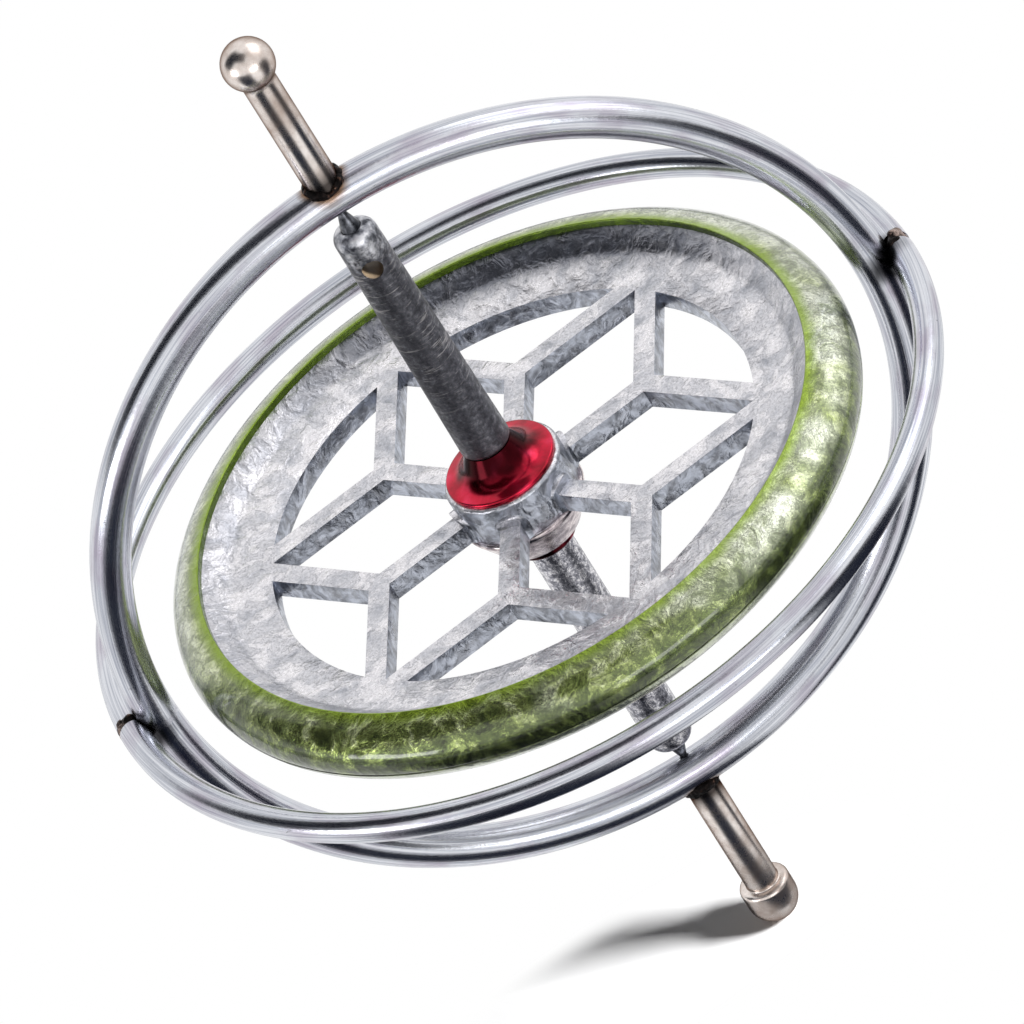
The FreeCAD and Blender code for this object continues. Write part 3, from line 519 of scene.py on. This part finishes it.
# %% [markdown]
# ## Every CAD node gets its finish
# The record names one material slot for each node. Most nodes are replaced below by a
# finer piece, but each still gets its real finish here.

# %% Finishes on the CAD nodes
FINISHES = {
    "ring_steel": wire_steel, "weld_scale": weld_scale, "stem_nickel": nickel, "cast_zinc": zinc,
    "green_lacquer": green, "red_lacquer": red, "ferrule_steel": turned_steel,
    "shaft_gunmetal": gunmetal, "shaft_bright": bright_cast, "pivot_steel": hard_steel,
}
slots = {part["node"]: part["material_slot"] for part in frame["record"]["subparts"]}
for name, node in frame["nodes"].items():
    node.data.materials.clear()
    node.data.materials.append(FINISHES[slots[name]])
print(len(slots), "nodes have", len(FINISHES), "finishes")

# %% [markdown]
# ## Helpers for pieces
# Almost every piece of this toy was turned, so it can be modelled as on a lathe: half an
# outline, its corners rounded, and one full spin round the axle. Corners are given as
# (radius, height above the middle of the wheel, rounding) in millimetres. Another helper
# makes a bmesh into a piece that stands in for a CAD node.

# %% Piece helpers
def half_outline(corners, closed=False, segments=8):
    """A wire of corners in the XZ plane, with each corner rounded by its own amount."""
    bm = bmesh.new()
    line = [bm.verts.new((radius * MM, 0, (WHEEL_LEVEL + height) * MM))
            for radius, height, _ in corners]
    for near, far in zip(line, line[1:] + line[:1] if closed else line[1:]):
        bm.edges.new((near, far))
    for corner, (_, _, rounding) in zip(line, corners):
        if rounding:
            bmesh.ops.bevel(bm, geom=[corner], offset=rounding * MM, offset_type="OFFSET",
                            affect="VERTICES", segments=segments, profile=0.5, material=-1)
    return bm


def spin_round(bm, steps=144):
    """Spins the whole outline once round the axle and closes its poles."""
    bmesh.ops.spin(bm, geom=bm.verts[:] + bm.edges[:], cent=(0, 0, 0), axis=(0, 0, 1),
                   angle=2 * pi, steps=steps, use_merge=True)
    bmesh.ops.remove_doubles(bm, verts=bm.verts[:], dist=0.002 * MM)
    bmesh.ops.recalc_face_normals(bm, faces=bm.faces[:])


def to_mesh(bm, name):
    """Makes a bmesh into a mesh, and lets go of it."""
    mesh = bpy.data.meshes.new(name)
    bm.to_mesh(mesh)
    bm.free()
    return mesh


def make_piece(bm, name, node, sharp):
    """A smooth-shaded piece that replaces a CAD node, in its finish and on its body."""
    for face in bm.faces:
        face.smooth = True
    mesh = to_mesh(bm, name)
    mesh.set_sharp_from_angle(angle=radians(sharp))
    mesh.materials.append(FINISHES[slots[node]])
    piece = put_in_scene(name, mesh)
    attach(piece, frame["nodes"][node]["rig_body"])
    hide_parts(node)
    print(name, len(mesh.polygons), "faces")
    return piece


def settle(piece):
    """Makes what a piece's modifiers show its own mesh."""
    bpy.context.view_layer.update()
    shown_piece = piece.evaluated_get(bpy.context.evaluated_depsgraph_get())
    settled = bpy.data.meshes.new_from_object(shown_piece)
    piece.modifiers.clear()
    piece.data = settled
    return settled


def carve(piece, tools):
    """Cuts closed meshes out of a piece for good, and puts the tools away."""
    for tool_mesh in tools:
        tool = put_in_scene("tool", tool_mesh)
        cut = piece.modifiers.new("cut", "BOOLEAN")
        cut.object, cut.operation, cut.solver = tool, "DIFFERENCE", "EXACT"
        settle(piece)
        bpy.data.objects.remove(tool)


# %% [markdown]
# ## The upright ring
# A ring of wire is a circle spun round a far centre. Each pole has a small conical seat on
# its inner side, in which a pivot runs, and a cone cuts it. The attribute straight holds
# the distance along the wire and the place in its section.

# %% Upright ring
POLAR_RADIUS, POLAR_WIRE = 29.2, 1.45
SEAT_START, SEAT_DEPTH = 25.95, 2.32
SEAT_MOUTH, SEAT_END = 0.85, 0.1


def mark_straight(piece, radius, plane):
    """Stores where each vertex lay before the wire was bent."""
    marks = piece.data.attributes.new("straight", "FLOAT_VECTOR", "POINT")
    for vertex, mark in zip(piece.data.vertices, marks.data):
        spot = vertex.co - WHEEL_MIDDLE
        along, beside = (spot.z, spot.y) if plane == "upright" else (spot.y, spot.z)
        turn = atan2(along, spot.x)
        mark.vector = (turn * radius * MM, hypot(along, spot.x) - radius * MM, beside)


def wire_bow(radius, wire, start, sweep, axis, steps):
    """Wire of one thickness, bent through a sweep about the middle of the wheel."""
    bm = bmesh.new()
    circle = bmesh.ops.create_circle(bm, segments=40, radius=wire * MM)["verts"]
    if axis.z:
        upright = Matrix.Rotation(pi / 2, 3, "X")
        bmesh.ops.rotate(bm, verts=circle, cent=(0, 0, 0), matrix=upright)
    bmesh.ops.translate(bm, verts=circle, vec=(radius * MM, 0, 0))
    bmesh.ops.rotate(bm, verts=circle, cent=(0, 0, 0), matrix=Matrix.Rotation(start, 3, axis))
    whole = abs(sweep) > 2 * pi - 0.001
    bmesh.ops.spin(bm, geom=bm.verts[:] + bm.edges[:], cent=(0, 0, 0), axis=axis, angle=sweep,
                   steps=steps, use_merge=whole)
    if not whole:
        ends = [edge for edge in bm.edges if edge.is_boundary]
        bmesh.ops.holes_fill(bm, edges=ends, sides=0)
    bmesh.ops.recalc_face_normals(bm, faces=bm.faces[:])
    bmesh.ops.translate(bm, verts=bm.verts[:], vec=WHEEL_MIDDLE)
    return bm


def seat_cone(way):
    """The cone that cuts a pivot's seat, above (way 1) or below (way -1)."""
    bm = bmesh.new()
    bmesh.ops.create_cone(bm, cap_ends=True, segments=48, radius1=SEAT_MOUTH * MM,
                          radius2=SEAT_END * MM, depth=SEAT_DEPTH * MM)
    tip_out = Matrix.Rotation(0 if way > 0 else pi, 3, "X")
    bmesh.ops.rotate(bm, verts=bm.verts[:], cent=(0, 0, 0), matrix=tip_out)
    middle = Vector((0, 0, way * (SEAT_START + SEAT_DEPTH / 2) * MM))
    bmesh.ops.translate(bm, verts=bm.verts[:], vec=WHEEL_MIDDLE + middle)
    return to_mesh(bm, "seat")


bm = wire_bow(POLAR_RADIUS, POLAR_WIRE, radians(0.5), 2 * pi, Vector((0, 1, 0)), 360)
upright_ring = make_piece(bm, "upright_ring", "polar_ring", sharp=50)
carve(upright_ring, [seat_cone(1), seat_cone(-1)])
mark_straight(upright_ring, POLAR_RADIUS, "upright")

# %% [markdown]
# ## The level ring
# Thinner wire makes two half hoops, front and rear. Their ends stop 0.35 mm short of the
# crossing, and the weld fills the gap.

# %% Level ring
LEVEL_RADIUS, LEVEL_WIRE, WELD_GAP = 31.2, 1.05, 0.35
gap_turn = WELD_GAP / LEVEL_RADIUS
sweep = pi - 2 * gap_turn
for name, node, start in (("rear_hoop", "equator_hoop_rear", gap_turn),
                          ("front_hoop", "equator_hoop_front", pi + gap_turn)):
    bm = wire_bow(LEVEL_RADIUS, LEVEL_WIRE, start, sweep, Vector((0, 0, 1)), 200)
    hoop = make_piece(bm, name, node, sharp=50)
    mark_straight(hoop, LEVEL_RADIUS, "level")

# %% [markdown]
# ## The stems
# The ball and its stem are one turned piece, and so are the foot and its stem. A round end
# is a quarter or half circle that one vertex draws when it is spun, so no circle has to be
# worked out by hand.

# %% Stems
STEM, STEM_ROOT = 1.25, 30.2
BALL, BALL_LEVEL = 1.9, 41.9
FOOT, FOOT_SHOULDER = 1.9, 3.5 - WHEEL_LEVEL


def round_end(bm, start, middle, sweep, steps=28):
    """Draws an arc from a vertex on, about a middle in the XZ plane; returns its end."""
    centre = (middle[0] * MM, 0, (WHEEL_LEVEL + middle[1]) * MM)
    drawn = bmesh.ops.spin(bm, geom=[start], cent=centre, axis=(0, 1, 0), angle=sweep, steps=steps)
    return [part for part in drawn["geom_last"] if isinstance(part, bmesh.types.BMVert)][0]


# The ball begins a little above the stem's end, and one edge between them is the hollow.
under_ball = (BALL ** 2 - STEM ** 2) ** 0.5
HOLLOW = 0.35
bm = half_outline([(0, STEM_ROOT, 0), (STEM, STEM_ROOT, 0),
                   (STEM, BALL_LEVEL - under_ball - HOLLOW, 0)])
bm.verts.ensure_lookup_table()
stem_end = bm.verts[-1]
top = bm.verts.new((0, 0, (WHEEL_LEVEL + BALL_LEVEL + BALL) * MM))
ball_end = round_end(bm, top, (0, BALL_LEVEL), pi - atan2(STEM, under_ball))
bm.edges.new((stem_end, ball_end))
spin_round(bm, 96)
make_piece(bm, "stem_with_ball", "ball_stem", sharp=60)

# The foot: a flat shoulder with a rounded edge, a short wall and a half ball.
half_ball = FOOT - WHEEL_LEVEL
bm = half_outline([(0, -STEM_ROOT, 0), (STEM, -STEM_ROOT, 0), (STEM, FOOT_SHOULDER, 0.12),
                   (FOOT, FOOT_SHOULDER, 0.35), (FOOT, half_ball, 0)])
lowest = min(bm.verts, key=lambda vert: vert.co.z)
round_end(bm, lowest, (0, half_ball), pi / 2)
spin_round(bm, 96)
make_piece(bm, "stem_with_foot", "foot_stem", sharp=60)

# %% [markdown]
# ## The axle's turned pieces
# The red collar has a thin flange and a bell-shaped neck. The ferrule tapers down from a
# rounded shoulder. Both shafts have domed ends, and the upper one a cross hole for the
# string, which a thin cylinder cuts.

# %% Collars and ferrule
CORE = 1.03
HUB_TOP, HUB_BOTTOM = 2.32, -0.97
COLLAR, COLLAR_FACE = 4.1, 2.65
BELL, BELL_LEVEL, NECK = 2.7, 2.85, 1.75
SHAFT_START = 4.6
bm = half_outline([(CORE, HUB_TOP, 0), (COLLAR, HUB_TOP, 0.06), (COLLAR, COLLAR_FACE, 0.16),
                   (BELL, BELL_LEVEL, 0.8), (NECK, SHAFT_START, 0),
                   (CORE, SHAFT_START, 0)], closed=True)
spin_round(bm)
make_piece(bm, "red_collar", "upper_collar", sharp=60)

FERRULE, FERRULE_TIP, FERRULE_END = 4.85, 3.15, -4.0
bm = half_outline([(CORE, HUB_BOTTOM, 0), (FERRULE, HUB_BOTTOM, 0.5),
                   (FERRULE_TIP, FERRULE_END, 0.3),
                   (CORE, FERRULE_END, 0)], closed=True)
spin_round(bm)
make_piece(bm, "ferrule", "hub_ferrule", sharp=60)

LOWER_COLLAR, LOWER_COLLAR_END = 2.4, -4.95
bm = half_outline([(CORE, FERRULE_END, 0), (LOWER_COLLAR, FERRULE_END, 0.12),
                   (LOWER_COLLAR, LOWER_COLLAR_END, 0.25),
                   (CORE, LOWER_COLLAR_END, 0)], closed=True)
spin_round(bm)
make_piece(bm, "lower_red_collar", "lower_collar", sharp=60)

# %% Shafts
CORE_END, SHAFT_END = 12.6, 26.1
UPPER_SHAFT, UPPER_SHAFT_TIP, LOWER_SHAFT = 1.875, 1.6, 1.675
POINT, POINT_BORE, POINT_ROOT = 0.75, 0.77, 24.5
HOLE_TURN = radians(10)
bm = half_outline([(0, CORE_END, 0), (CORE, CORE_END, 0), (CORE, SHAFT_START, 0),
                   (UPPER_SHAFT, SHAFT_START, 0.4), (UPPER_SHAFT_TIP, SHAFT_END, 0.8),
                   (POINT_BORE, SHAFT_END, 0), (POINT_BORE, POINT_ROOT, 0), (0, POINT_ROOT, 0)])
spin_round(bm)
shaft = make_piece(bm, "upper_shaft_worn", "upper_shaft", sharp=50)
bm = bmesh.new()
bmesh.ops.create_cone(bm, cap_ends=True, segments=40, radius1=HOLE_RADIUS * MM,
                      radius2=HOLE_RADIUS * MM, depth=6 * MM)
lying = Matrix.Rotation(-HOLE_TURN, 3, "Z") @ Matrix.Rotation(pi / 2, 3, "X")
bmesh.ops.rotate(bm, verts=bm.verts[:], cent=(0, 0, 0), matrix=lying)
bmesh.ops.translate(bm, verts=bm.verts[:], vec=(0, 0, (WHEEL_LEVEL + HOLE_LEVEL) * MM))
carve(shaft, [to_mesh(bm, "hole")])

bm = half_outline([(0, -CORE_END, 0), (CORE, -CORE_END, 0), (CORE, -SHAFT_START, 0),
                   (LOWER_SHAFT, -SHAFT_START, 0.1), (LOWER_SHAFT, -SHAFT_END, 0.875),
                   (POINT_BORE, -SHAFT_END, 0), (POINT_BORE, -POINT_ROOT, 0), (0, -POINT_ROOT, 0)])
spin_round(bm)
make_piece(bm, "lower_shaft_bright", "lower_shaft", sharp=50)

# %% Pivots
POINT_TIP, POINT_END = 0.12, 28.15
for name, node, way in (("upper_point", "upper_pivot", 1), ("lower_point", "lower_pivot", -1)):
    bm = half_outline([(0, way * POINT_ROOT, 0), (POINT, way * POINT_ROOT, 0),
                       (POINT, way * SHAFT_END, 0.1),
                       (POINT_TIP, way * (POINT_END - 0.02), 0.05), (0, way * POINT_END, 0)])
    spin_round(bm, 72)
    make_piece(bm, name, node, sharp=40)

# %% [markdown]
# ## The rim
# The rim's section has a flat inner wall, a low crest above and below, and slopes off to a
# round outer side, so each of its outer corners gets a large rounding. The two halves of
# its mould met below the middle: a few vertices of the outline are pushed in there, and the
# spin makes it a fine parting line.

# %% Rim
RIM_WALL = 2.1
SHOULDER, SHOULDER_LEVEL = 25.3, 1.9
BELLY = 0.55
upper_half = [(RIM_OUTER, BELLY, 0.54), (SHOULDER, SHOULDER_LEVEL, 1.0),
              (RIM_INNER + 0.02, CREST, 0.15), (RIM_INNER, RIM_WALL, 0)]
lower_half = [(radius, -height, rounding) for radius, height, rounding in reversed(upper_half)]
bm = half_outline(lower_half + upper_half, closed=True, segments=20)
GROOVE = 0.09 * MM
parting = Vector(((RIM_OUTER - 0.08) * MM, 0, (WHEEL_LEVEL + PARTING) * MM))
in_groove = [vert for vert in bm.verts if (vert.co - parting).length < GROOVE]
for vert in in_groove:
    vert.co.x -= GROOVE
print(len(in_groove), "vertices draw the parting line")
spin_round(bm, 288)
make_piece(bm, "rim_lacquered", "wheel_rim", sharp=50)

# %% [markdown]
# ## The wheel casting
# The casting's form is right in the CAD, but its edges are razor sharp, and no casting has
# such edges. So a copy of its mesh is merged, its flat faces are made one, and every sharp
# edge gets a small rounding that catches the light. The flange's edge is run out to the
# rim's inner wall. The pads at the spokes' roots are flat in front, so their corners are
# drawn in towards the hub, more so the further out they lie.

# %% Wheel casting
CAST_EDGE, FLANGE = 22.88, 22.5
PAD_FRONT, PAD_SIDE, PAD_CORNER, PAD_DRAW = 4.85 * MM, 1.25 * MM, 5.1 * MM, 0.32 * MM
bm = bmesh.new()
bm.from_mesh(frame["nodes"]["wheel_casting"].data)
bmesh.ops.remove_doubles(bm, verts=bm.verts[:], dist=0.001 * MM)
bmesh.ops.dissolve_limit(bm, angle_limit=radians(0.5), verts=bm.verts[:], edges=bm.edges[:])
for vert in bm.verts:
    reach = hypot(vert.co.x, vert.co.y)
    if reach > FLANGE * MM:
        vert.co.xy *= RIM_INNER / CAST_EDGE
    elif PAD_FRONT < reach < PAD_CORNER:
        aside = (reach ** 2 - PAD_FRONT ** 2) / PAD_SIDE ** 2
        vert.co.xy *= (PAD_FRONT - PAD_DRAW * aside) / reach
casting = make_piece(bm, "casting", "wheel_casting", sharp=180)
soft_edge = casting.modifiers.new("cast edges", "BEVEL")
soft_edge.width = 0.12 * MM
soft_edge.segments = 2
soft_edge.limit_method = "ANGLE"
soft_edge.angle_limit = radians(28)
soft_edge.harden_normals = True

# %% [markdown]
# ## The welds
# A weld is a row of drops that froze into each other. A few balls are laid where the drops
# are, a voxel remesh flows them into one skin, and a noise along the normals makes the
# skin lumpy.

# %% Welds
LUMP = 0.55
ROOT_DROPS = 28


def lumpy(name, node, drops, voxel=0.09, swell=0.14):
    """Drops of (place, radii) in millimetres, melted into one lumpy bead."""
    bm = bmesh.new()
    for spot, radii in drops:
        drop = bmesh.ops.create_icosphere(bm, subdivisions=3, radius=1.0)["verts"]
        bmesh.ops.scale(bm, verts=drop, vec=Vector(radii) * MM)
        bmesh.ops.translate(bm, verts=drop, vec=WHEEL_MIDDLE + Vector(spot) * MM)
    piece = make_piece(bm, name, node, sharp=180)
    melt = piece.modifiers.new("melt", "REMESH")
    melt.mode = "VOXEL"
    melt.voxel_size = voxel * MM
    melted = settle(piece)
    moves = [vertex.normal * noise.noise(vertex.co / (LUMP * MM)) * swell * MM
             for vertex in melted.vertices]
    for vertex, move in zip(melted.vertices, moves):
        vertex.co += move
    melted.shade_smooth()


lumpy("weld_right", "ring_weld_right", [
    ((31.3, 0, 0), (0.95, 0.42, 1.1)), ((31.45, 0.35, 0.72), (0.6, 0.55, 0.5)),
    ((31.1, -0.45, 0.8), (0.55, 0.5, 0.42)), ((31.7, -0.4, -0.3), (0.5, 0.55, 0.6)),
    ((31.65, 0.45, 0.0), (0.5, 0.4, 0.5)), ((31.2, 0.1, -0.85), (0.5, 0.6, 0.4))])
lumpy("weld_left", "ring_weld_left", [
    ((-31.3, 0, 0), (0.92, 0.34, 1.08)), ((-31.6, 0.3, 0.5), (0.5, 0.45, 0.5)),
    ((-31.35, -0.4, -0.5), (0.6, 0.45, 0.55)), ((-31.1, 0.1, 0.85), (0.5, 0.45, 0.35))])
for name, node, way in (("weld_upper_stem", "ball_stem_weld", 1),
                        ("weld_lower_stem", "foot_stem_weld", -1)):
    ring_of_drops = []
    for step in range(ROOT_DROPS):
        turn = step * 2 * pi / ROOT_DROPS
        height = way * (STEM_ROOT + 0.35 - 0.35 * sin(turn) ** 2)
        tall = 0.36 + 0.16 * sin(2 * turn + way) + 0.08 * sin(5 * turn)
        ring_of_drops.append(((1.2 * cos(turn), 1.2 * sin(turn), height), (0.37, 0.37, tall)))
    lumpy(name, node, ring_of_drops, voxel=0.07, swell=0.1)

# %% [markdown]
# ## The studio
# The toy stands in a white room. Its floor is a plane under the foot. Near the foot the
# floor is plain white paper and takes the stem's shadow, and further off it turns to a glow
# of the same white, for the camera and for reflections, so that only the shadow near the
# foot is seen.

# %% Floor
KEY_X, KEY_Y = 0.83, -0.56
SHADOW_TURN = atan2(-KEY_Y, -KEY_X)
PAPER_MIDDLE, PAPER_END, PAPER_SLIM = 14 * MM, 23 * MM, 2.9


def shown(tree):
    """1 for the rays that show the room: straight, in a reflection or through glass."""
    seen = 0.0
    for ray in ("Is Camera Ray", "Is Glossy Ray", "Is Transmission Ray"):
        ray = add(tree, "LightPath", out=ray)
        seen = add(tree, "Math", [ray, seen], operation="MAXIMUM")
    return seen


floor_white, tree, shader, place = new_finish("paper_white_matt")
tree.nodes.remove(shader)
# The shadow lies along one line away from the key lamp. The Mapping node turns that line to
# X and narrows the sheet across it, so that plain paper is left in an oval round the shadow.
oval = add(tree, "Mapping", {"Vector": place, "Rotation": (0, 0, -SHADOW_TURN),
                             "Scale": (1, PAPER_SLIM, 1)}, vector_type="POINT")
from_shadow = add(tree, "VectorMath", [oval, (PAPER_MIDDLE, 0, 0)], operation="DISTANCE",
                  out="Value")
glow_share = add(tree, "MapRange", [from_shadow, PAPER_MIDDLE, PAPER_END],
                 interpolation_type="SMOOTHSTEP")
glow_amount = add(tree, "Math", [shown(tree), glow_share], operation="MULTIPLY")
paper = add(tree, "BsdfDiffuse", {"Color": linear("#f8f8f8")})
glow = add(tree, "Emission", {"Color": (1, 1, 1, 1), "Strength": 1.0})
both = add(tree, "MixShader", {0: glow_amount, 1: paper, 2: glow})
plug(tree.nodes["Material Output"], {"Surface": both})

bm = bmesh.new()
bmesh.ops.create_grid(bm, x_segments=1, y_segments=1, size=2.0)
floor = put_in_scene("floor", to_mesh(bm, "floor"))
floor.data.materials.append(floor_white)
print("the shadow falls at", round(degrees(SHADOW_TURN)), "degrees")

# %% World
AMBIENT = 0.035
world = bpy.data.worlds.new("white room")
bpy.context.scene.world = world
world.use_nodes = True
tree = world.node_tree
level = add(tree, "MapRange", [shown(tree), 0, 1, AMBIENT, 1.0])
plug(tree.nodes["Background"], {"Strength": level, "Color": (1, 1, 1, 1)})
print("the room lights the toy with", AMBIENT, "of its white")

# %% [markdown]
# ## Black felt
# Polished metal is drawn by what it reflects, and in an all-white room it would vanish. So
# black felt lies and stands round the toy, as in a real studio. Two sectors of felt lie on
# the table in front, left and right of a bright gap, and meet round the foot. A card closes
# the horizon behind the right one, a tall card stands at the left, and one hangs overhead.
# They show only in reflections, and their edges fade, so the dark bands on the rings have
# soft edges. The angle of a place round the axle tells which sector of the table it is in.

# %% Felt on the table
def stage_card(bm, name, finish):
    """A card of felt that only reflections see."""
    card = put_in_scene(name, to_mesh(bm, name))
    card.data.materials.append(finish)
    card.visible_camera = card.visible_diffuse = card.visible_shadow = False


def felt(name, code, chart):
    """Felt of one colour over clear. Input 0 of the node it gives last is the cover."""
    finish, tree, shader, place = new_finish(name, chart)
    tree.nodes.remove(shader)
    dark = add(tree, "Emission", {"Color": linear(code), "Strength": 1.0})
    clear = add(tree, "BsdfTransparent")
    mix = add(tree, "MixShader", {1: clear, 2: dark})
    plug(tree.nodes["Material Output"], {"Surface": mix})
    return finish, tree, place, mix.node


table_felt, tree, place, cover = felt("felt_black_sectors", "#262a36", "Object")
beside = add(tree, "VectorMath", [place, (8 * MM, 0, 0)], operation="SUBTRACT")
right = add(tree, "SeparateXYZ", [beside], out="X")
behind = add(tree, "SeparateXYZ", [beside], out="Y")
ahead = add(tree, "Math", [behind, -1], operation="MULTIPLY")
turn = add(tree, "Math", [right, ahead], operation="ARCTAN2")
sectors = 0.0
for middle, half, soft in ((-40, 27, 8), (54, 22, 8)):
    off = off_level(tree, turn, radians(middle))
    sector = add(tree, "MapRange", [off, radians(half - soft), radians(half + soft), 1, 0],
                 interpolation_type="SMOOTHSTEP")
    sectors = add(tree, "Math", [sector, sectors], operation="MAXIMUM")
away = add(tree, "VectorMath", [place], operation="LENGTH", out="Value")
round_foot = add(tree, "MapRange", [away, 8 * MM, 13 * MM, 0.45, 0],
                 interpolation_type="SMOOTHSTEP")
plug(cover, [add(tree, "Math", [sectors, round_foot], operation="MAXIMUM")])

bm = bmesh.new()
bmesh.ops.create_grid(bm, x_segments=1, y_segments=1, size=1.5)
bmesh.ops.translate(bm, verts=bm.verts[:], vec=(0, 0, 0.3 * MM))
stage_card(bm, "felt_on_table", table_felt)

# %% Standing cards
def toward(turn, rise):
    """A direction from its turn off the front, positive to +X, and its rise, in degrees."""
    turn, rise = radians(turn), radians(rise)
    return Vector((sin(turn) * cos(rise), -cos(turn) * cos(rise), sin(rise)))


card_felt, tree, place, cover = felt("felt_black_soft_edge", "#1a1d26", "UV")
centred = add(tree, "VectorMath", [place, (0.5, 0.5, 0)], operation="SUBTRACT")
spread = add(tree, "VectorMath", [centred], operation="ABSOLUTE")
sideways = add(tree, "SeparateXYZ", [spread], out="X")
upwards = add(tree, "SeparateXYZ", [spread], out="Y")
furthest = add(tree, "Math", [sideways, upwards, 0.12], operation="SMOOTH_MAX")
fade = add(tree, "MapRange", [furthest, 0.25, 0.5, 1, 0], interpolation_type="SMOOTHSTEP")
plug(cover, [fade])

CARD_DISTANCE = 400 * MM
for name, turn, rise, width, height in (("felt_at_right", 48, 2, 330, 190),
                                        ("felt_at_left", -104, 46, 400, 640),
                                        ("felt_overhead", -42, 72, 380, 330)):
    way = toward(turn, rise)
    bm = bmesh.new()
    bm.loops.layers.uv.new("UVMap")
    bmesh.ops.create_grid(bm, x_segments=1, y_segments=1, size=0.5, calc_uvs=True)
    bmesh.ops.scale(bm, verts=bm.verts[:], vec=(width * MM, height * MM, 1))
    facing = way.to_track_quat("Z", "Y").to_matrix()
    bmesh.ops.rotate(bm, verts=bm.verts[:], cent=(0, 0, 0), matrix=facing)
    bmesh.ops.translate(bm, verts=bm.verts[:], vec=WHEEL_MIDDLE + way * CARD_DISTANCE)
    stage_card(bm, name, card_felt)

# %% [markdown]
# ## The lamps
# One small key lamp from the front right throws the stem's shadow, and is kept out of
# reflections. Three weak softboxes give the metal its white highlights, and light nothing
# else: a wide one high at the right, a low narrow one at the left, which draws the short
# white line on the rim's near side, and a low one in front.

# %% Lamps
def softbox(name, direction, distance, width, height, power):
    """A square-cornered area lamp that faces the wheel, sized in millimetres."""
    lamp = bpy.data.lights.new(name, "AREA")
    lamp.shape = "RECTANGLE"
    lamp.size, lamp.size_y = width * MM, height * MM
    lamp.energy = power
    box = put_in_scene(name, lamp)
    facing = direction.to_track_quat("Z", "Y").to_matrix().to_4x4()
    box.matrix_world = Matrix.Translation(WHEEL_MIDDLE + direction * distance * MM) @ facing
    return box


KEY_RISE = radians(26)
key_direction = Vector((KEY_X * cos(KEY_RISE), KEY_Y * cos(KEY_RISE), sin(KEY_RISE)))
key = softbox("key lamp", key_direction, 600, 130, 130, 8.4)
key.visible_glossy = False
for box in (softbox("softbox right", toward(100, 42), 500, 420, 300, 0.5),
            softbox("softbox left", toward(-72, 14), 450, 190, 100, 0.36),
            softbox("softbox front", toward(12, 12), 450, 260, 110, 0.3)):
    box.visible_diffuse = False
print("lamps:", [lamp.name for lamp in bpy.data.lights])
